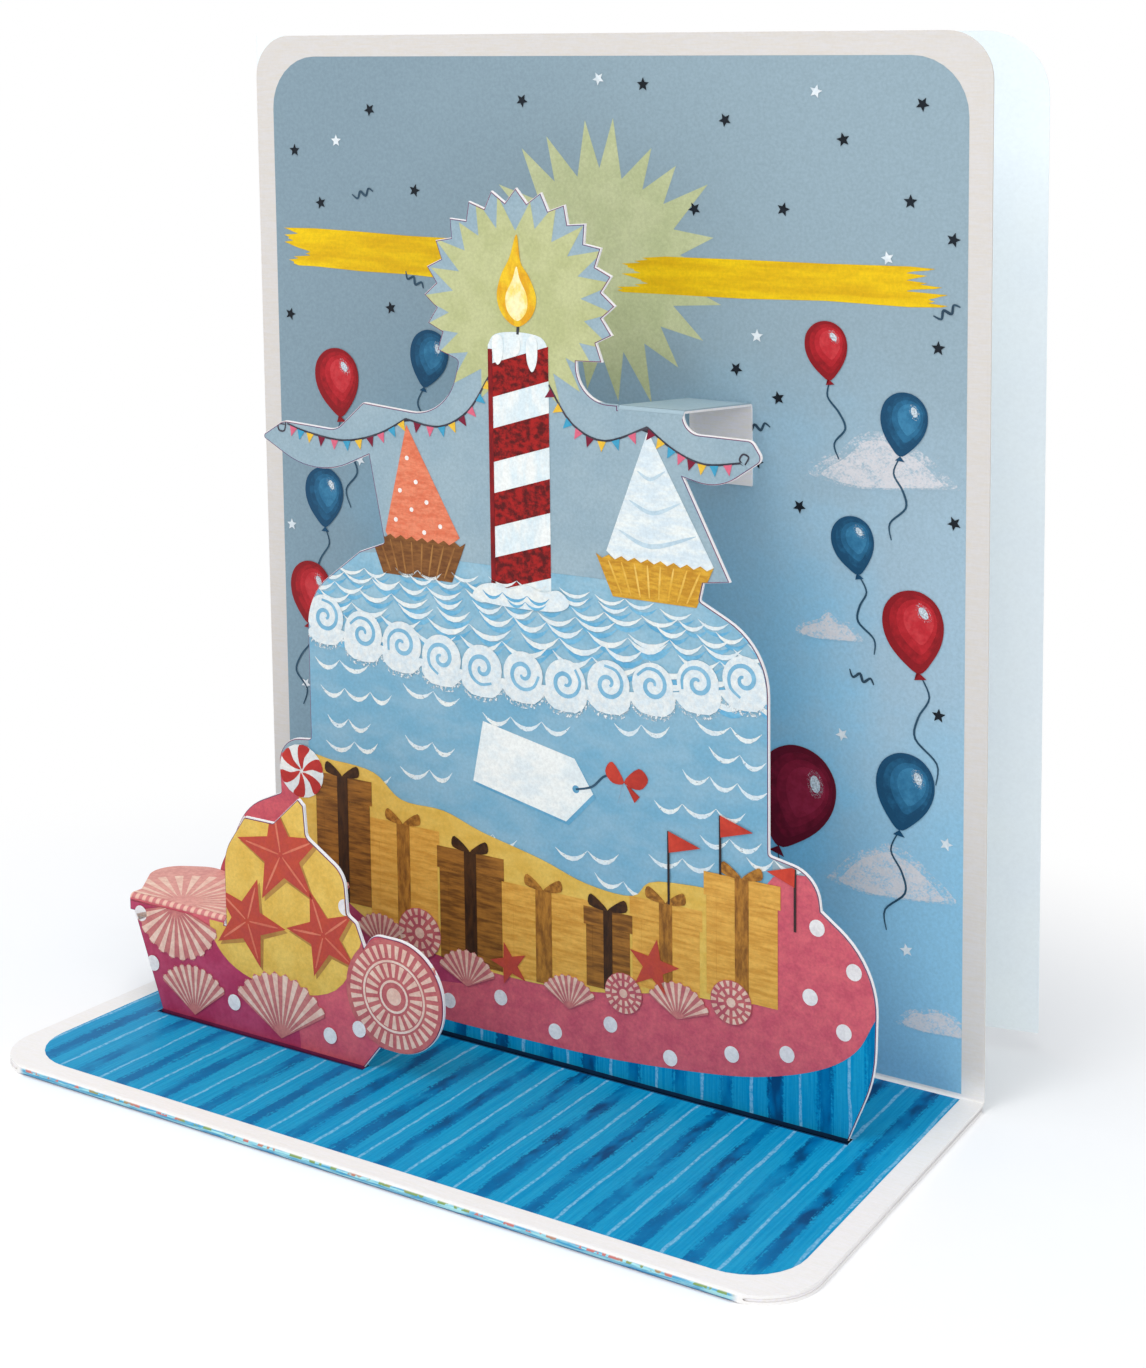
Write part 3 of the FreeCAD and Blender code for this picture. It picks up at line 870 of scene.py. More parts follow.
class CARD_OT_layer_grounds(bpy.types.Operator):
    """Prints the grounds of both layers, just inside their cut edges, over a thin dark line"""
    bl_idname = "card.layer_grounds"
    bl_label = "Layer grounds"

    def execute(self, context):
        settings = context.scene.card_print
        rim = ink("dark_print_rim", "#5a3c6e", "#7c2f55", (8, 8, 8))
        grounds = {}
        for key, node, face, shift in (("cake", "cake_layer", CAKE, (-0.08, -0.05)),
                                       ("front", "front_layer", FRONT, (-0.1, -0.06))):
            edge = cut_outline(node, face)
            printed(key + "_print_rim", face, 1, [drawn_in(edge, 0.09, shift)], rim)
            grounds[key] = drawn_in(edge, 0.22, shift)
            trims[key] = flat_plate(key + "_trim", [grounds[key]], TRIM)
        sky = ink("near_sky_ink", settings.near_sky, "#93abb7", (9, 7, 7))
        printed("cake_sky", CAKE, 2, [grounds["cake"]], sky)
        pink = ink("front_pink_ink", settings.board_pink, "#c95566", (4, 4, 4), 0.2, 0.11)
        printed("front_pink", FRONT, 2, [grounds["front"]], pink)
        printed("platform_crease", CAKE, 3, [box(20.1, 32.0, PLATFORM_CREASE - 0.6, PLATFORM_CREASE)], sky)
        printed("shelf_crease", FRONT, 3, [box(-71.1, -49.3, SHELF_CREASE - 0.6, SHELF_CREASE)], pink)
        return {"FINISHED"}


class CARD_OT_cake(bpy.types.Operator):
    """Prints the iced cake: blue side, swagged top and the piped border"""
    bl_idname = "card.cake"
    bl_label = "Iced cake"

    def execute(self, context):
        settings = context.scene.card_print
        chance = random.Random(11)
        side = [(-45.6, 30), (47.9, 30), (47.9, 78), (-45.6, 78)]
        blue = ink("cake_side_blue", settings.tier_blue, "#74a9c3", (10, 5, 5), 0.2, 0.08)
        on_cake("cake_side", 3, [side], blue)
        dome = smooth([(-46, 70), (-45.6, 77), (-41, 82), (-34, 85.2), (-22, 86.2), (0, 86.4), (22, 86.6),
                       (36, 85.6), (42, 82.5), (47, 77), (48.5, 70), (24, 66), (0, 64), (-24, 66)])
        on_cake("cake_top", 4, [dome], ink("cake_top_blue", "#97bccd", "#84b2c8", (7, 3, 3)))

        rows = [[], []]
        for row in range(7):
            start = -45.0 + chance.uniform(0, 3)
            while start < 44:
                widths = [chance.uniform(4.6, 6.4) + 0.5 * row for _ in range(chance.choice((1, 2, 2, 3)))]
                middle = start + sum(widths) / 2
                arch = 84.5 - 1.25 * row - 0.1 * row * row - 0.0015 * middle * middle
                height = arch + chance.uniform(-0.2, 0.2)
                mark = wave(widths, 0.95 + 0.12 * row, 0.55 + 0.08 * row)
                rows[row % 2].append(moved(mark, middle, height, chance.uniform(-0.02, 0.02)))
                start += sum(widths) + chance.uniform(0.5, 2.6)
        swag_blue = ink("swag_blue", "#5fa6cb", "#7ab8d6", (3, 2, 2))
        icing = ink("icing_white", "#e9ebe6", "#d9e4e8", (3, 2, 2))
        for number, marks in enumerate(rows):
            shades = [[(x + 0.5, y - 1.0) for x, y in mark] for mark in marks]
            on_cake("icing_swag_shades_%d" % (number + 1), 5 + number, shades, swag_blue)
            on_cake("icing_swags_%d" % (number + 1), 7 + number, marks, icing)

        lower, rosettes, spirals = [], [], []
        for i in range(-5, 6):
            x = 1.0 + i * 8.4
            y = self.border_height(x) + chance.uniform(-0.3, 0.3)
            radius = chance.uniform(3.85, 4.15)
            rosettes.append(disc(x, y, radius, 24))
            lower += [(x - 4.1, y - 3.2), (x - 2.2, y - 4.9), (x + 2.2, y - 5.0), (x + 4.1, y - 3.2)]
            turn = 0.9 * i
            path = [about(x, y, 3.15 - 0.23 * k, turn - 0.75 * k) for k in range(13)]
            spirals.append(stroke(path, 0.78, 0.45, 3))
        upper = [(x, self.border_height(x) - 1.2) for x in range(47, -47, -6)]
        chalky = ink("border_icing", "#e6e9e6", "#d3dfe4", (1.2, 1.2, 1.2), 0.2, 0.1)
        on_cake("piped_band", 9, [smooth(lower, 2, closed=False) + upper], chalky)
        spray = [(x, y - 0.9) for x, y in smooth(lower, 2, closed=False)]
        spray_ink = dry(ink("border_spray_ink", "#e3e8e8"), (0.6, 0.6, 0.6), 0.5, 0.62)
        on_cake("border_spray", 8, [spray + upper], spray_ink)
        on_cake("piped_rosettes", 10, rosettes, chalky)
        on_cake("piped_rings", 11, spirals, ink("piping_blue", "#76aecb", "#8abbd4"))

        marks = []
        for row in range(7):
            start = -46 + chance.uniform(0, 7)
            while start < 46:
                widths = [chance.uniform(4.6, 6.6) for _ in range(chance.choice((2, 2, 3)))]
                middle = start + sum(widths) / 2
                height = 60.8 - 4.5 * row + 0.0026 * middle * middle + chance.uniform(-0.8, 0.8)
                if not (-18 < middle < 25 and 41 < height < 60):
                    marks.append(moved(wave(widths, 1.35, 0.75), middle, height, chance.uniform(-0.1, 0.12)))
                start += sum(widths) + chance.uniform(3.5, 9.0)
        side_white = dry(ink("side_white", "#e9ebe6", "#d5e2e8", (3, 2, 2)), (0.7, 0.4, 0.4), 0.3, 0.42)
        on_cake("side_swags", 4, marks, side_white)
        return {"FINISHED"}

    def border_height(self, x):
        return 68.0 + 4.9 * (x / 42) ** 2


class CARD_OT_candle(bpy.types.Operator):
    """Prints the tall striped candle, its flame and the sunburst behind it"""
    bl_idname = "card.candle"
    bl_label = "Candle"

    def execute(self, context):
        sun = burst(0.6, 131.6, 13.2, 20.2, 22, 9)
        on_cake("front_sunburst", 3, [sun], ink("sunburst_front", "#c0c391", "#b6ba86", (5, 5, 5)))
        left, right, low, high = -5.2, 6.8, 81.0, 125.5
        wax = smooth([(left, high - 1), (left + 1.5, high + 1.0), (left + 6, high + 1.6),
                      (right - 1.5, high + 1.0), (right, high - 1)], 4, closed=False)
        column = [(left, low), (right, low)] + wax[::-1]
        on_cake("candle_wax", 5, [column], ink("candle_cream", "#eef0ec", "#d8e6ea", (2.5, 8, 8)))
        bands = []
        for y in (84.0, 95.2, 106.4, 117.6):
            bands.append([(left, y - 2.2), (right, y + 1.6), (right, y + 7.4), (left, y + 3.6)])
        on_cake("candle_stripes", 6, bands, ink("candle_red", "#a51a18", "#560c10", (1.5, 1.3, 1.3), 0.12))
        on_cake("candle_shade", 7, [box(left, left + 0.9, low, high - 1.6)],
                ink("candle_edge", "#6d1016", "#8f1518", (1.0, 3, 3)))
        drips = [smooth([(x - 0.9, high + 0.6), (x + 0.9, high + 0.6), (x + 1.0, high - depth * 0.6),
                         (x, high - depth), (x - 1.0, high - depth * 0.6)], 4)
                 for x, depth in ((-3.2, 4.2), (0.2, 2.6), (3.6, 5.0))]
        on_cake("candle_drips", 8, drips, ink("candle_drip", "#f2f2ec", "#e2ecee"))
        foot = smooth([(-9.0, 80.6), (-7.6, 82.6), (-4.6, 83.4), (-1.4, 82.8), (1.8, 83.8), (5.2, 83.0),
                       (8.4, 83.6), (10.4, 81.6), (8.0, 80.0), (1.0, 79.6), (-6.0, 79.8)])
        on_cake("candle_foot", 12, [foot], ink("icing_white", "#e9ebe6"))
        folds = [moved(wave([4, 5, 4.4], 0.9, 0.5), -0.2, 82.0),
                 moved(wave([3.6, 4.2], 0.8, 0.45), 2.0, 80.9)]
        on_cake("candle_foot_folds", 13, folds, ink("swag_blue", "#5fa6cb"))
        wick = stroke([(0.8, high + 1.2), (0.9, high + 2.6), (0.7, high + 3.8)], 0.55, 0.2)
        on_cake("candle_wick", 6, [wick], ink("wick_dark", "#2a2f38", "#3c3f45"))
        flame = smooth([(0.8, 128.0), (3.6, 129.8), (4.6, 133.0), (3.2, 136.6), (1.6, 139.0), (0.9, 143.6),
                        (-0.6, 139.6), (-2.4, 136.4), (-3.2, 132.8), (-2.0, 129.7)])
        core = smooth([(0.8, 129.0), (2.6, 130.6), (2.8, 133.2), (1.4, 136.2), (0.8, 138.2), (0.0, 136.0),
                       (-1.4, 133.2), (-1.1, 130.6)])
        on_cake("flame", 7, [flame], ink("flame_gold", "#eec52a", "#df9f1e", (2, 5, 5)))
        on_cake("flame_core", 8, [core], ink("flame_core_pale", "#fbf0bd", "#f4da6e", (2, 3, 3)))
        return {"FINISHED"}


class CARD_OT_bunting(bpy.types.Operator):
    """Prints the strings of small flags along the large layer's arms"""
    bl_idname = "card.bunting"
    bl_label = "Bunting"

    def execute(self, context):
        swags = ([(-5.2, 119), (-9.5, 112.8), (-15.5, 109.6), (-22.5, 110.4)],
                 [(-22.5, 110.4), (-28.5, 107.2), (-36, 105.4), (-44, 106.2), (-48.6, 107.4)],
                 [(6.8, 118.6), (11.2, 112.4), (17.5, 110.0), (25.5, 113.0)],
                 [(25.5, 113.0), (30.5, 109.6), (36, 107.8), (42.4, 108.6)])
        strings = [stroke(path, 0.36, 0.1) for path in swags]
        loop = [(0, 0), (1.0, 1.0), (0.2, 1.7), (-0.7, 0.9), (0.2, -0.6)]
        strings += [stroke(moved(loop, -49.2, 107.2, 2.4), 0.3, 0.3),
                    stroke(moved(loop, 43.2, 108.4, 0.3), 0.3, 0.3)]
        on_cake("bunting_strings", 5, strings, ink("bunting_string_ink", "#34343f", "#4a4650"))
        flags = {"wine": [], "gold": [], "teal": [], "rose": []}
        order = ("gold", "teal", "rose", "wine")
        number = 0
        for path in swags:
            line = smooth(path, 12, closed=False)
            for i in range(3, len(line) - 2, 4):
                (ax, ay), (bx, by) = line[i - 1], line[i + 1]
                angle = math.atan2(by - ay, bx - ax)
                if abs(angle) > math.pi / 2:
                    angle += math.pi
                x, y = line[i]
                flags[order[number % 4]].append(moved([(-0.8, 0), (0.8, 0), (0.0, -1.8)], x, y - 0.1, angle))
                number += 1
        colours = {"wine": "#7b1a35", "gold": "#e9bb3c", "teal": "#3f9cc0", "rose": "#d9667f"}
        for name, outlines in flags.items():
            on_cake(name + "_flags", 6, outlines, ink(name + "_flag_ink", colours[name]))
        return {"FINISHED"}


class CARD_OT_cupcakes(bpy.types.Operator):
    """Prints the two tall cupcakes that stand on the cake"""
    bl_idname = "card.cupcakes"
    bl_label = "Cupcakes"

    def execute(self, context):
        coral_cone = [(-22.4, 109.4), (-11.6, 90.4), (-14, 88.6), (-21, 87.8), (-26.4, 88.4), (-27.3, 90.0)]
        on_cake("coral_cone", 5, [coral_cone],
                ink("coral_cone_ink", "#e88a68", "#da6f4e", (2.2, 0.7, 0.7), 0.2))
        dots = [(-22.4, 103.5), (-20.6, 99.4), (-24.0, 97.6), (-18.4, 96.0), (-21.6, 94.4), (-25.0, 92.3),
                (-15.6, 92.0), (-19.0, 90.6)]
        on_cake("cone_dots", 6, [disc(x, y, 0.42, 10) for x, y in dots], ink("cone_dot_ink", "#f2ebe4"))
        cream_cone = [(25.6, 112.4), (37.6, 91.0), (35, 89.6), (28, 88.8), (20, 89.6), (17.6, 91.6)]
        on_cake("cream_cone", 5, [cream_cone], ink("cream_cone_ink", "#eaeeea", "#d3e0e6", (6, 2, 2)))
        swirl = [stroke([(20.0, 95.4), (26, 93.2), (34.4, 95.8)], 0.8, 0.9),
                 stroke([(22.0, 100.6), (26.4, 98.8), (31.6, 101.0)], 0.7, 0.9),
                 stroke([(23.6, 105.6), (26.0, 104.4), (28.8, 106)], 0.6, 0.9)]
        on_cake("cream_folds", 6, swirl, ink("cream_fold_ink", "#c3d6df", "#b3cbd8"))
        self.case("brown", -20.6, 89.6, 20.4, 14.6, 7.2, "#8a5a2e", "#6b4120", "#a9773f")
        self.case("golden", 26.6, 91.0, 22.0, 15.6, 7.0, "#dba836", "#bd8422", "#edc565")
        return {"FINISHED"}

    def case(self, name, x, top, wide, narrow, deep, colour, second, crease):
        """A pleated paper case: flared, with a zigzag rim."""
        pleats = 9
        rim = []
        for i in range(2 * pleats + 1):
            rim.append((x - wide / 2 + wide * i / (2 * pleats), top - (0.7 if i % 2 else 0.0)))
        outline = [(x - narrow / 2, top - deep), (x + narrow / 2, top - deep)] + rim[::-1]
        on_cake(name + "_case", 7, [outline], ink(name + "_case_ink", colour, second, (2.5, 0.6, 0.6), 0.2))
        folds = []
        for i in range(1, pleats):
            share = i / pleats - 0.5
            folds.append(stroke([(x + narrow * share, top - deep + 0.5), (x + wide * share, top - 1.0)],
                                0.36, 0.5))
        on_cake(name + "_pleats", 8, folds, ink(name + "_pleat_ink", crease, colour))


class CARD_OT_gift_tag(bpy.types.Operator):
    """Prints the bare white gift tag with its bow"""
    bl_idname = "card.gift_tag"
    bl_label = "Gift tag"

    def execute(self, context):
        tag = [(-9.6, 47.6), (-7.4, 58.6), (11.0, 54.9), (14.6, 49.3), (9.2, 43.6)]
        hole = disc(11.2, 49.6, 0.7, 14)
        shadow = moved(tag, 0.5, -0.6)
        on_cake("tag_shadow", 5, [shadow], ink("tag_shadow_ink", "#5b9cbe", "#6ba8c6"))
        on_cake("gift_tag", 6, [tag, hole], ink("tag_white", "#f0f1ec", "#e1e8e8", (5, 3, 3)))
        thread = stroke([(11.2, 49.6), (14.4, 50.6), (17.2, 53.0), (20.6, 52.4)], 0.4, 0.2)
        on_cake("tag_thread", 7, [thread], ink("thread_navy", "#2b4a60", "#3a5a70"))
        bow = [smooth([(20.6, 52.4), (23.4, 55.2), (25.2, 53.6), (23.6, 51.6)], 4),
               smooth([(20.6, 52.4), (18.4, 55.6), (17.0, 53.8), (18.4, 52.0)], 4),
               [(20.4, 52.2), (19.4, 48.6), (20.9, 49.4)], [(20.9, 52.2), (22.6, 49.2), (23.6, 50.4)]]
        on_cake("tag_bow", 8, bow, ink("bow_red", "#c8402f", "#b03227"))
        return {"FINISHED"}


class CARD_OT_board(bpy.types.Operator):
    """Prints the spotted pink board and the striped skirt under it"""
    bl_idname = "card.board"
    bl_label = "Board and skirt"

    def execute(self, context):
        settings = context.scene.card_print
        skirt = [box(-72, 72, -2, 30)]
        on_cake("skirt", 4, skirt, striped_blue("striped_skirt_blue", 4.0))
        board = smooth([(-69, 19), (-66, 13), (-58, 7.6), (-46, 4.6), (-30, 3.0), (-16, 2.5), (0, 2.7),
                        (16, 3.2), (32, 4.7), (45, 6.8), (56, 10.6), (62.5, 15.2), (66, 21.5), (71, 30),
                        (68, 42), (54, 42.6), (47, 40), (44, 26), (20, 30), (-20, 30), (-44, 44),
                        (-58, 44), (-72, 30)])
        pink = ink("board_pink_ink", settings.board_pink, "#c95566", (3, 2.6, 2.6), 0.2, 0.11)
        on_cake("spotted_board", 5, [board], pink)
        shade = smooth([(-60, 30), (-44, 13.5), (-28, 9.4), (-16, 9.6), (-8, 11.5), (-12, 16), (-30, 22),
                        (-40, 30)])
        on_cake("board_shade", 6, [shade], ink("board_shade_ink", "#ac3a5c", "#bb4c6c", (5, 3, 3)))
        radius = mm(settings.dot_radius)
        spots = [(-62, 31), (-55.5, 24), (-60, 17), (-48, 12), (-38, 6.4), (-26, 8.6), (-15.5, 6.2),
                 (-4.6, 9.2), (6.5, 5.6), (17.5, 9.4), (29, 6.2), (40.5, 9.6), (50.5, 12.0), (60.5, 18.0),
                 (54.6, 22.6), (62.2, 28.4), (55.8, 34.4), (-67, 24)]
        dots = [ellipse(x, y, radius, radius * 1.04) for x, y in spots]
        on_cake("board_dots", 7, dots, ink("dot_white", "#efeae6", "#e3dcdb"))
        printed("foot_shade", CAKE, 6, [box(-61.2, 61.2, -0.35, 0.36)],
                ink("foot_shade_ink", "#0c2a47", "#103353"))
        return {"FINISHED"}


def gift_box(left, right, low, high, lid):
    """Outlines of a present: its box and wider lid, its upright ribbon, a printed shade down its left side
    and under the lid, and its bow.
    """
    width = right - left
    middle = (left + right) / 2
    return {
        "box": [box(left + 0.5, right - 0.5, low, high - lid), box(left, right, high - lid + 0.02, high)],
        "ribbon": [box(middle - width * 0.09, middle + width * 0.09, low, high + 0.05)],
        "shade": [box(left + 0.5, left + 0.5 + width * 0.13, low, high - lid),
                  box(left + 0.5, right - 0.5, high - lid - 0.9, high - lid)],
        "bow": [smooth([(middle, high), (middle - 3.2, high + 2.4), (middle - 3.6, high + 0.4)], 4),
                smooth([(middle, high), (middle + 3.2, high + 2.4), (middle + 3.6, high + 0.4)], 4)],
    }


class CARD_OT_gifts(bpy.types.Operator):
    """Prints the golden gift boxes that stand before the cake"""
    bl_idname = "card.gifts"
    bl_label = "Gift boxes"

    def execute(self, context):
        settings = context.scene.card_print
        ground = smooth([(-46, 45.6), (-40, 46.2), (-31, 45.4), (-25, 41.4), (-16, 41.0), (-8, 38.6),
                         (4, 36.0), (13, 33.4), (22, 33.0), (27, 36.5), (45, 36.5), (48, 30), (48.4, 21.5),
                         (42, 18.6), (30, 17.6), (15, 14.6), (0, 13.4), (-18, 14.2), (-32, 17.2),
                         (-42, 24), (-48, 34)])
        on_cake("golden_ground", 8, [ground],
                ink("ground_gold", settings.gold, "#dcb04c", (5, 2.5, 2.5), 0.2, 0.08))
        brown = (gift_box(-44.5, -31.5, 20, 43.5, 4.5), gift_box(-17.5, -3.5, 14, 34.5, 4.0),
                 gift_box(12.5, 22.0, 15.5, 29.5, 3.2))
        golden = (gift_box(-32.5, -17.0, 16.5, 37.0, 4.2), gift_box(-4.5, 13.5, 13.8, 30.5, 3.8),
                  gift_box(21.5, 35.2, 17.5, 33.0, 3.6), gift_box(35.5, 49.4, 19.2, 40.0, 4.0))
        self.boxes("brown", 10, brown, "#a96f2c", "#6a4119", "#2f1c10", "#4c2e15")
        self.boxes("golden", 9, golden, "#eab253", "#cf9138", "#80501f", "#b87c30")
        return {"FINISHED"}

    def boxes(self, name, level, gifts, colour, second, ribbon, shade):
        """Boxes of one colour, each part of them in a film of its own from a level up."""
        brushed = ink(name + "_box_ink", colour, second, (6, 0.8, 0.8), 0.2, 0.08)
        for part, lift, finish in (
                ("box", 0, brushed),
                ("shade", 1, ink(name + "_shade_ink", shade, second, (3, 0.7, 0.7))),
                ("ribbon", 2, ink(name + "_ribbon_ink", ribbon, shade, (0.8, 3, 3), 0.2)),
                ("bow", 3, ink(name + "_bow_ink", ribbon, shade, (1, 1, 1)))):
            outlines = [outline for gift in gifts for outline in gift[part]]
            on_cake(name + "_gift_" + part, level + lift, outlines, finish)


def pleated_fan(x, y, radius, start, end, ribs):
    """A folded paper fan: its leaf and its ridges."""
    leaf = [(x, y)]
    ridges = []
    for i in range(2 * ribs + 1):
        a = math.radians(start + (end - start) * i / (2 * ribs))
        r = radius * (1.0 if i % 2 else 0.93)
        leaf.append(about(x, y, r, a))
        if i % 2:
            spread = math.radians((end - start) / (2 * ribs) * 0.5)
            ridges.append([about(x, y, radius * 0.2, a), about(x, y, radius * 0.97, a - spread),
                           about(x, y, radius * 0.97, a + spread)])
    return leaf, ridges


def fans(places, ribs):
    """The leaves of several pleated fans, and all their ridges."""
    leaves, ridges = [], []
    for place in places:
        leaf, own = pleated_fan(*place, ribs)
        leaves.append(leaf)
        ridges += own
    return leaves, ridges


def paper_rosette(x, y, radius, count):
    """A round pleated rosette: ring outlines of ridges about a button."""
    ridges = []
    for inner, outer, number in ((0.72, 0.97, count), (0.36, 0.62, int(count * 0.6))):
        for i in range(number):
            a = 2 * math.pi * i / number
            half = math.pi / number * 0.55
            ridges.append([about(x, y, radius * r, a + half * side) for r, side in (
                (inner, -0.7), (outer, -1), (outer, 1), (inner, 0.7))])
    return ridges


class CARD_OT_sweets(bpy.types.Operator):
    """Prints the small fans, rosettes and stars along the foot of the gift boxes"""
    bl_idname = "card.sweets"
    bl_label = "Fans and stars"

    def execute(self, context):
        leaves, ridges = fans(((-30, 13.0, 6.5, 35, 150), (-11.5, 9.8, 6.8, 25, 155),
                               (9.5, 10.4, 6.2, 30, 150), (30.5, 13.4, 6.6, 20, 150),
                               (-41, 18, 7, 50, 160)), 9)
        discs, buttons = [], []
        for x, y, radius in ((-21.5, 17.5, 4.6), (20.2, 15.6, 3.6), (40.5, 18.6, 3.8)):
            discs.append(disc(x, y, radius))
            ridges += paper_rosette(x, y, radius, 18)
            buttons.append(disc(x, y, radius * 0.22, 12))
        on_cake("fan_leaves", 14, leaves, ink("fan_pink", "#cf7f78", "#bd6568", (2, 2, 2)))
        on_cake("rosette_discs", 14, discs, ink("rosette_pink", "#c96a68", "#b65560", (2, 2, 2)))
        on_cake("fan_ridges", 15, ridges + buttons, ink("ridge_pink", "#ecc9b4", "#e0b09d", (2, 2, 2)))
        stars = [star(-2.5, 15.8, 4.0, 0.4, 5, 0.3), star(26.0, 21.5, 5.0, 0.4, 5, -0.15)]
        on_cake("small_stars", 15, stars,
                ink("coral_star_ink", context.scene.card_print.coral, "#b8453a", (2.5, 2.5, 2.5)))
        poles = [stroke([(x, low), (x, high)], 0.42, 0.0, 2)
                 for x, low, high in ((29.0, 33.0, 45.6), (38.6, 40, 50.0), (52.0, 33, 43.8))]
        on_cake("pennant_sticks", 13, poles, ink("stick_ink", "#3b2b29", "#2b2326"))
        pennants = [[(x, high), (x + 6.0, high - 1.9), (x + 0.1, high - 3.7)]
                    for x, high in ((29.0, 45.6), (38.6, 50.0))]
        pennants += [[(52.0, 43.8), (47.0, 42.2), (51.9, 40.4)]]
        on_cake("pennants", 14, pennants, ink("pennant_red", "#cf4430", "#b93628"))
        x, y = -47.2, 43.0
        petal = ((0.3, 0), (2.6, 0.25), (4.9, 0.1), (4.9, 0.6), (2.6, 0.8))
        mint = [smooth([about(x, y, radius, 2 * math.pi * i / 6 + turn) for radius, turn in petal], 3)
                for i in range(6)]
        on_cake("mint_disc", 13, [disc(x, y, 5.0)], ink("mint_white", "#eff0ec", "#dfe6e6"))
        on_cake("mint_swirl", 14, mint, ink("mint_red", "#c93a32", "#b32d2b"))
        return {"FINISHED"}


class CARD_OT_front_print(bpy.types.Operator):
    """Prints the small layer: coral stars on gold, pleated fans, dots and the round rosette"""
    bl_idname = "card.front_print"
    bl_label = "Small layer"

    def execute(self, context):
        settings = context.scene.card_print
        shades = [smooth([(-76, 24), (-58, 18.5), (-50, 14.5), (-42, 11), (-36, 8), (-33, 2), (-36, -4),
                          (-58, -6), (-76, -6)], 4)]
        on_front("front_shades", 3, shades, ink("front_shade_ink", "#ad3357", "#bb4768", (5, 5, 5)))
        gold = smooth([(-50.5, 48), (-30, 50), (-18, 34), (-19.5, 22), (-25, 12.4), (-36, 9.6),
                       (-47, 11.6), (-52.4, 17.5), (-51.5, 26)])
        on_front("front_gold", 4, [gold],
                 ink("front_gold_ink", settings.gold, "#dcb04c", (4, 4, 4), 0.2, 0.1))
        stars = [(-36.2, 34.2, 9.6, 0.16), (-44.0, 20.8, 8.4, -0.3), (-27.4, 21.6, 8.0, 0.35)]
        shade = [moved(star(0, 0, r, 0.44, 5, turn), x + 0.5, y - 0.5) for x, y, r, turn in stars]
        on_front("star_shadows", 5, shade, ink("star_shadow_ink", "#b98a45", "#a8743a"))
        coral = ink("coral_star_ink", settings.coral, "#b8453a", (2.5, 2.5, 2.5))
        on_front("coral_stars", 6, [star(x, y, r, 0.42, 5, turn) for x, y, r, turn in stars], coral)
        veins = []
        for x, y, r, turn in stars:
            for i in range(5):
                a = turn + math.pi / 2 + 2 * math.pi * i / 5
                veins.append(stroke([about(x, y, 0.5, a), about(x, y, r * 0.8, a)], 0.42, 0.6, 3))
        on_front("star_veins", 7, veins, ink("vein_ink", "#db7d62", "#d06a52"))

        leaves, ridges = fans(((-56.5, 0.8, 9.4, 38, 146), (-37.0, 1.0, 12.0, 32, 148),
                               (-60.3, 20.3, 10.2, 196, 344)), 10)
        on_front("front_fans", 8, leaves, ink("front_fan_pink", "#cf8078", "#bf6a6a", (2, 2, 2)))
        pale = ink("front_ridge_pink", "#eecdb9", "#e3b5a2", (2, 2, 2))
        on_front("front_fan_ridges", 9, ridges, pale)

        x, y = -12.8, 14.0
        on_front("round_rosette", 8, [disc(x, y, 9.9, 40)],
                 ink("round_rosette_pink", "#c9706c", "#b95c60", (2, 2, 2)))
        on_front("round_ridges", 9, paper_rosette(x, y, 9.3, 34) + [disc(x, y, 1.5)], pale)
        rings = [disc(x, y, 6.35, 36), disc(x, y, 5.95, 36), disc(x, y, 2.9, 24), disc(x, y, 2.5, 24)]
        on_front("rosette_rings", 10, rings, ink("ring_pale", "#f0d6c6", "#e6bfae"))
        spots = [(-20.2, 6.6), (-47.4, 5.2), (-26.4, 4.0), (-66.0, 8.4), (-68.6, 17.2), (-22.6, 27.6)]
        dots = [ellipse(u, v, 1.4, 1.45) for u, v in spots]
        on_front("front_dots", 9, dots, ink("dot_white", "#efeae6"))
        printed("front_foot_shade", FRONT, 9, [box(-64.2, -19.2, -0.35, 0.25)],
                ink("front_foot_ink", "#6a2044", "#7a2850"))
        return {"FINISHED"}


class CARD_OT_folded_tops(bpy.types.Operator):
    """Prints the tops of the platform and the shelf, which carry the layers' colours back"""
    bl_idname = "card.folded_tops"
    bl_label = "Folded tops"

    def execute(self, context):
        settings = context.scene.card_print
        edge = drawn_in(cut_outline("front_layer", SHELF), 0.05, (0, -0.04))
        trim = flat_plate("shelf_trim", [edge], TRIM)
        pink = ink("shelf_pink_ink", "#dfa093", "#d08a82", (1.6, 1.6, 1.6), 0.2, 0.08)
        printed("shelf_top", SHELF, 1, [edge], pink)
        ridges = pleated_fan(-60.5, -7.6, 15.0, -10, 190, 16)[1]
        printed("shelf_fan_ridges", SHELF, 2, ridges, ink("front_ridge_pink", "#eecdb9"), trim)
        bpy.data.objects.remove(trim)

        edge = drawn_in(cut_outline("cake_layer", PLATFORM), 0.1, (-0.06, -0.08))
        sky = ink("near_sky_ink", settings.near_sky)
        printed("platform_top", PLATFORM, 1, [edge], sky)
        return {"FINISHED"}


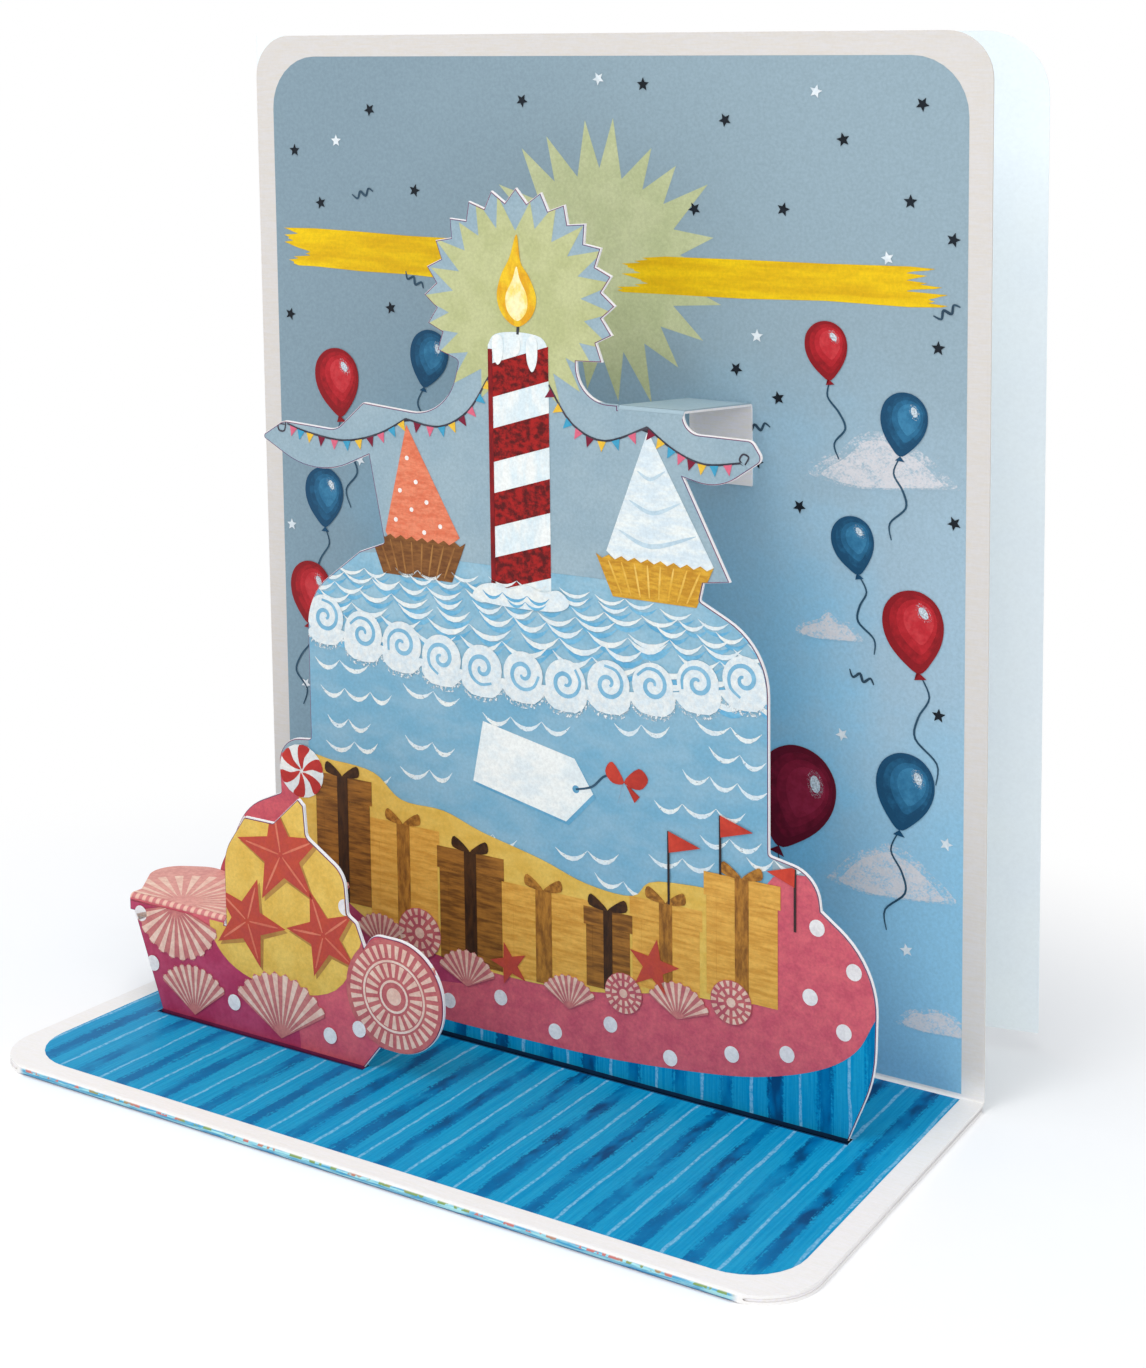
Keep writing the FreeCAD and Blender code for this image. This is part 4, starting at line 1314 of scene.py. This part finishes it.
class CARD_OT_stage(bpy.types.Operator):
    """Sets the pale floor, the soft studio light and the camera"""
    bl_idname = "card.stage"
    bl_label = "Stage"

    def execute(self, context):
        settings = context.scene.card_camera
        bpy.ops.object.select_all(action="DESELECT")
        bpy.ops.mesh.primitive_circle_add(vertices=96, radius=6, fill_type="NGON", location=(0, 0, 0))
        floor = context.object
        floor.name = "floor"
        floor.data.materials.append(self.floor_finish())

        world = bpy.data.worlds.new("studio")
        context.scene.world = world
        world.use_nodes = True
        nodes = Nodes(world.node_tree)
        nodes.tree.nodes.clear()
        soft = nodes.add("ShaderNodeBackground")
        soft.inputs[0].default_value = linear("#f3f6fb")
        soft.inputs[1].default_value = settings.sky_strength
        white = nodes.add("ShaderNodeBackground")
        white.inputs[0].default_value = (1, 1, 1, 1)
        nodes.blend(nodes.in_sight(), soft, white, nodes.add("ShaderNodeOutputWorld"))

        target = Vector((0, 0.01, 0.085))
        self.lamp("key", (-0.15, -0.72, 0.78), 0.42, settings.key_power, target)
        self.lamp("fill", (0.85, -0.80, 0.50), 0.9, settings.key_power * 1.18, target)
        self.lamp("top", (0.0, -0.25, 0.95), 0.7, settings.key_power * 1.3, target)

        bpy.ops.object.camera_add()
        camera = context.object
        camera.name = "photo_view"
        right = Vector((0.88423, 0.46469, 0.04685))
        up = Vector((-0.04148, -0.02177, 0.99890))
        back = right.cross(up)
        camera.matrix_world = Matrix.Translation((0.18093, -0.28702, 0.14359)) @ Matrix(
            (right, up, back)).transposed().to_4x4()
        camera.data.sensor_width = 36
        camera.data.lens = settings.lens
        camera.data.shift_x = -0.0783
        camera.data.shift_y = -0.3210
        camera.data.clip_start = 0.01
        context.scene.camera = camera
        context.scene.view_settings.view_transform = "Standard"
        return {"FINISHED"}

    def floor_finish(self):
        """Pale matt card, which fades into the white studio away from the object."""
        finish = Finish("pale_floor")
        finish.shader.inputs["Base Color"].default_value = linear("#fbfbfb")
        finish.surface(0.9, 0.0)
        coordinates = finish.add("ShaderNodeTexCoord")
        length = finish.add("ShaderNodeVectorMath", operation="LENGTH")
        finish.tree.links.new(coordinates.outputs["Object"], length.inputs[0])
        far = Value(finish, length.outputs["Value"]).rising(0.1, 0.2)
        white = finish.add("ShaderNodeEmission")
        finish.blend(far * finish.in_sight(), finish.shader, white, finish.output)
        return finish.material

    def lamp(self, name, place, size, power, target):
        bpy.ops.object.light_add(type="AREA", location=place)
        lamp = bpy.context.object
        lamp.name = name
        lamp.data.shape = "DISK"
        lamp.data.size = size
        lamp.data.energy = power
        lamp.rotation_euler = (target - Vector(place)).to_track_quat("-Z", "Y").to_euler()


class CARD_PT_panel(bpy.types.Panel):
    """Lists the card's printing steps and its settings"""
    bl_label = "Pop up card"
    bl_idname = "CARD_PT_panel"
    bl_space_type = "VIEW_3D"
    bl_region_type = "UI"
    bl_category = "Pop up card"

    def draw(self, context):
        for group in (context.scene.card_print, context.scene.card_camera):
            for name in group.bl_rna.properties.keys():
                if name not in ("rna_type", "name"):
                    self.layout.prop(group, name)
        for operator in STEPS:
            self.layout.operator(operator.bl_idname)


STEPS = (
    CARD_OT_plain_card,
    CARD_OT_sky,
    CARD_OT_banners,
    CARD_OT_balloons,
    CARD_OT_sky_marks,
    CARD_OT_base_print,
    CARD_OT_layer_grounds,
    CARD_OT_cake,
    CARD_OT_candle,
    CARD_OT_bunting,
    CARD_OT_cupcakes,
    CARD_OT_gift_tag,
    CARD_OT_board,
    CARD_OT_gifts,
    CARD_OT_sweets,
    CARD_OT_front_print,
    CARD_OT_folded_tops,
    CARD_OT_stage,
)
CLASSES = (CardPrint, CameraPlace) + STEPS + (CARD_PT_panel,)


def register():
    for item in CLASSES:
        bpy.utils.register_class(item)
    bpy.types.Scene.card_print = bpy.props.PointerProperty(type=CardPrint)
    bpy.types.Scene.card_camera = bpy.props.PointerProperty(type=CameraPlace)


def unregister():
    del bpy.types.Scene.card_camera
    del bpy.types.Scene.card_print
    for item in reversed(CLASSES):
        bpy.utils.unregister_class(item)


def main():
    register()
    bpy.ops.card.plain_card()
    bpy.ops.card.sky()
    bpy.ops.card.banners()
    bpy.ops.card.balloons()
    bpy.ops.card.sky_marks()
    bpy.ops.card.base_print()
    bpy.ops.card.layer_grounds()
    bpy.ops.card.cake()
    bpy.ops.card.candle()
    bpy.ops.card.bunting()
    bpy.ops.card.cupcakes()
    bpy.ops.card.gift_tag()
    bpy.ops.card.board()
    bpy.ops.card.gifts()
    bpy.ops.card.sweets()
    bpy.ops.card.front_print()
    bpy.ops.card.folded_tops()
    bpy.ops.card.stage()
    for trim in trims.values():
        bpy.data.objects.remove(trim)


if __name__ == "__main__":
    main()
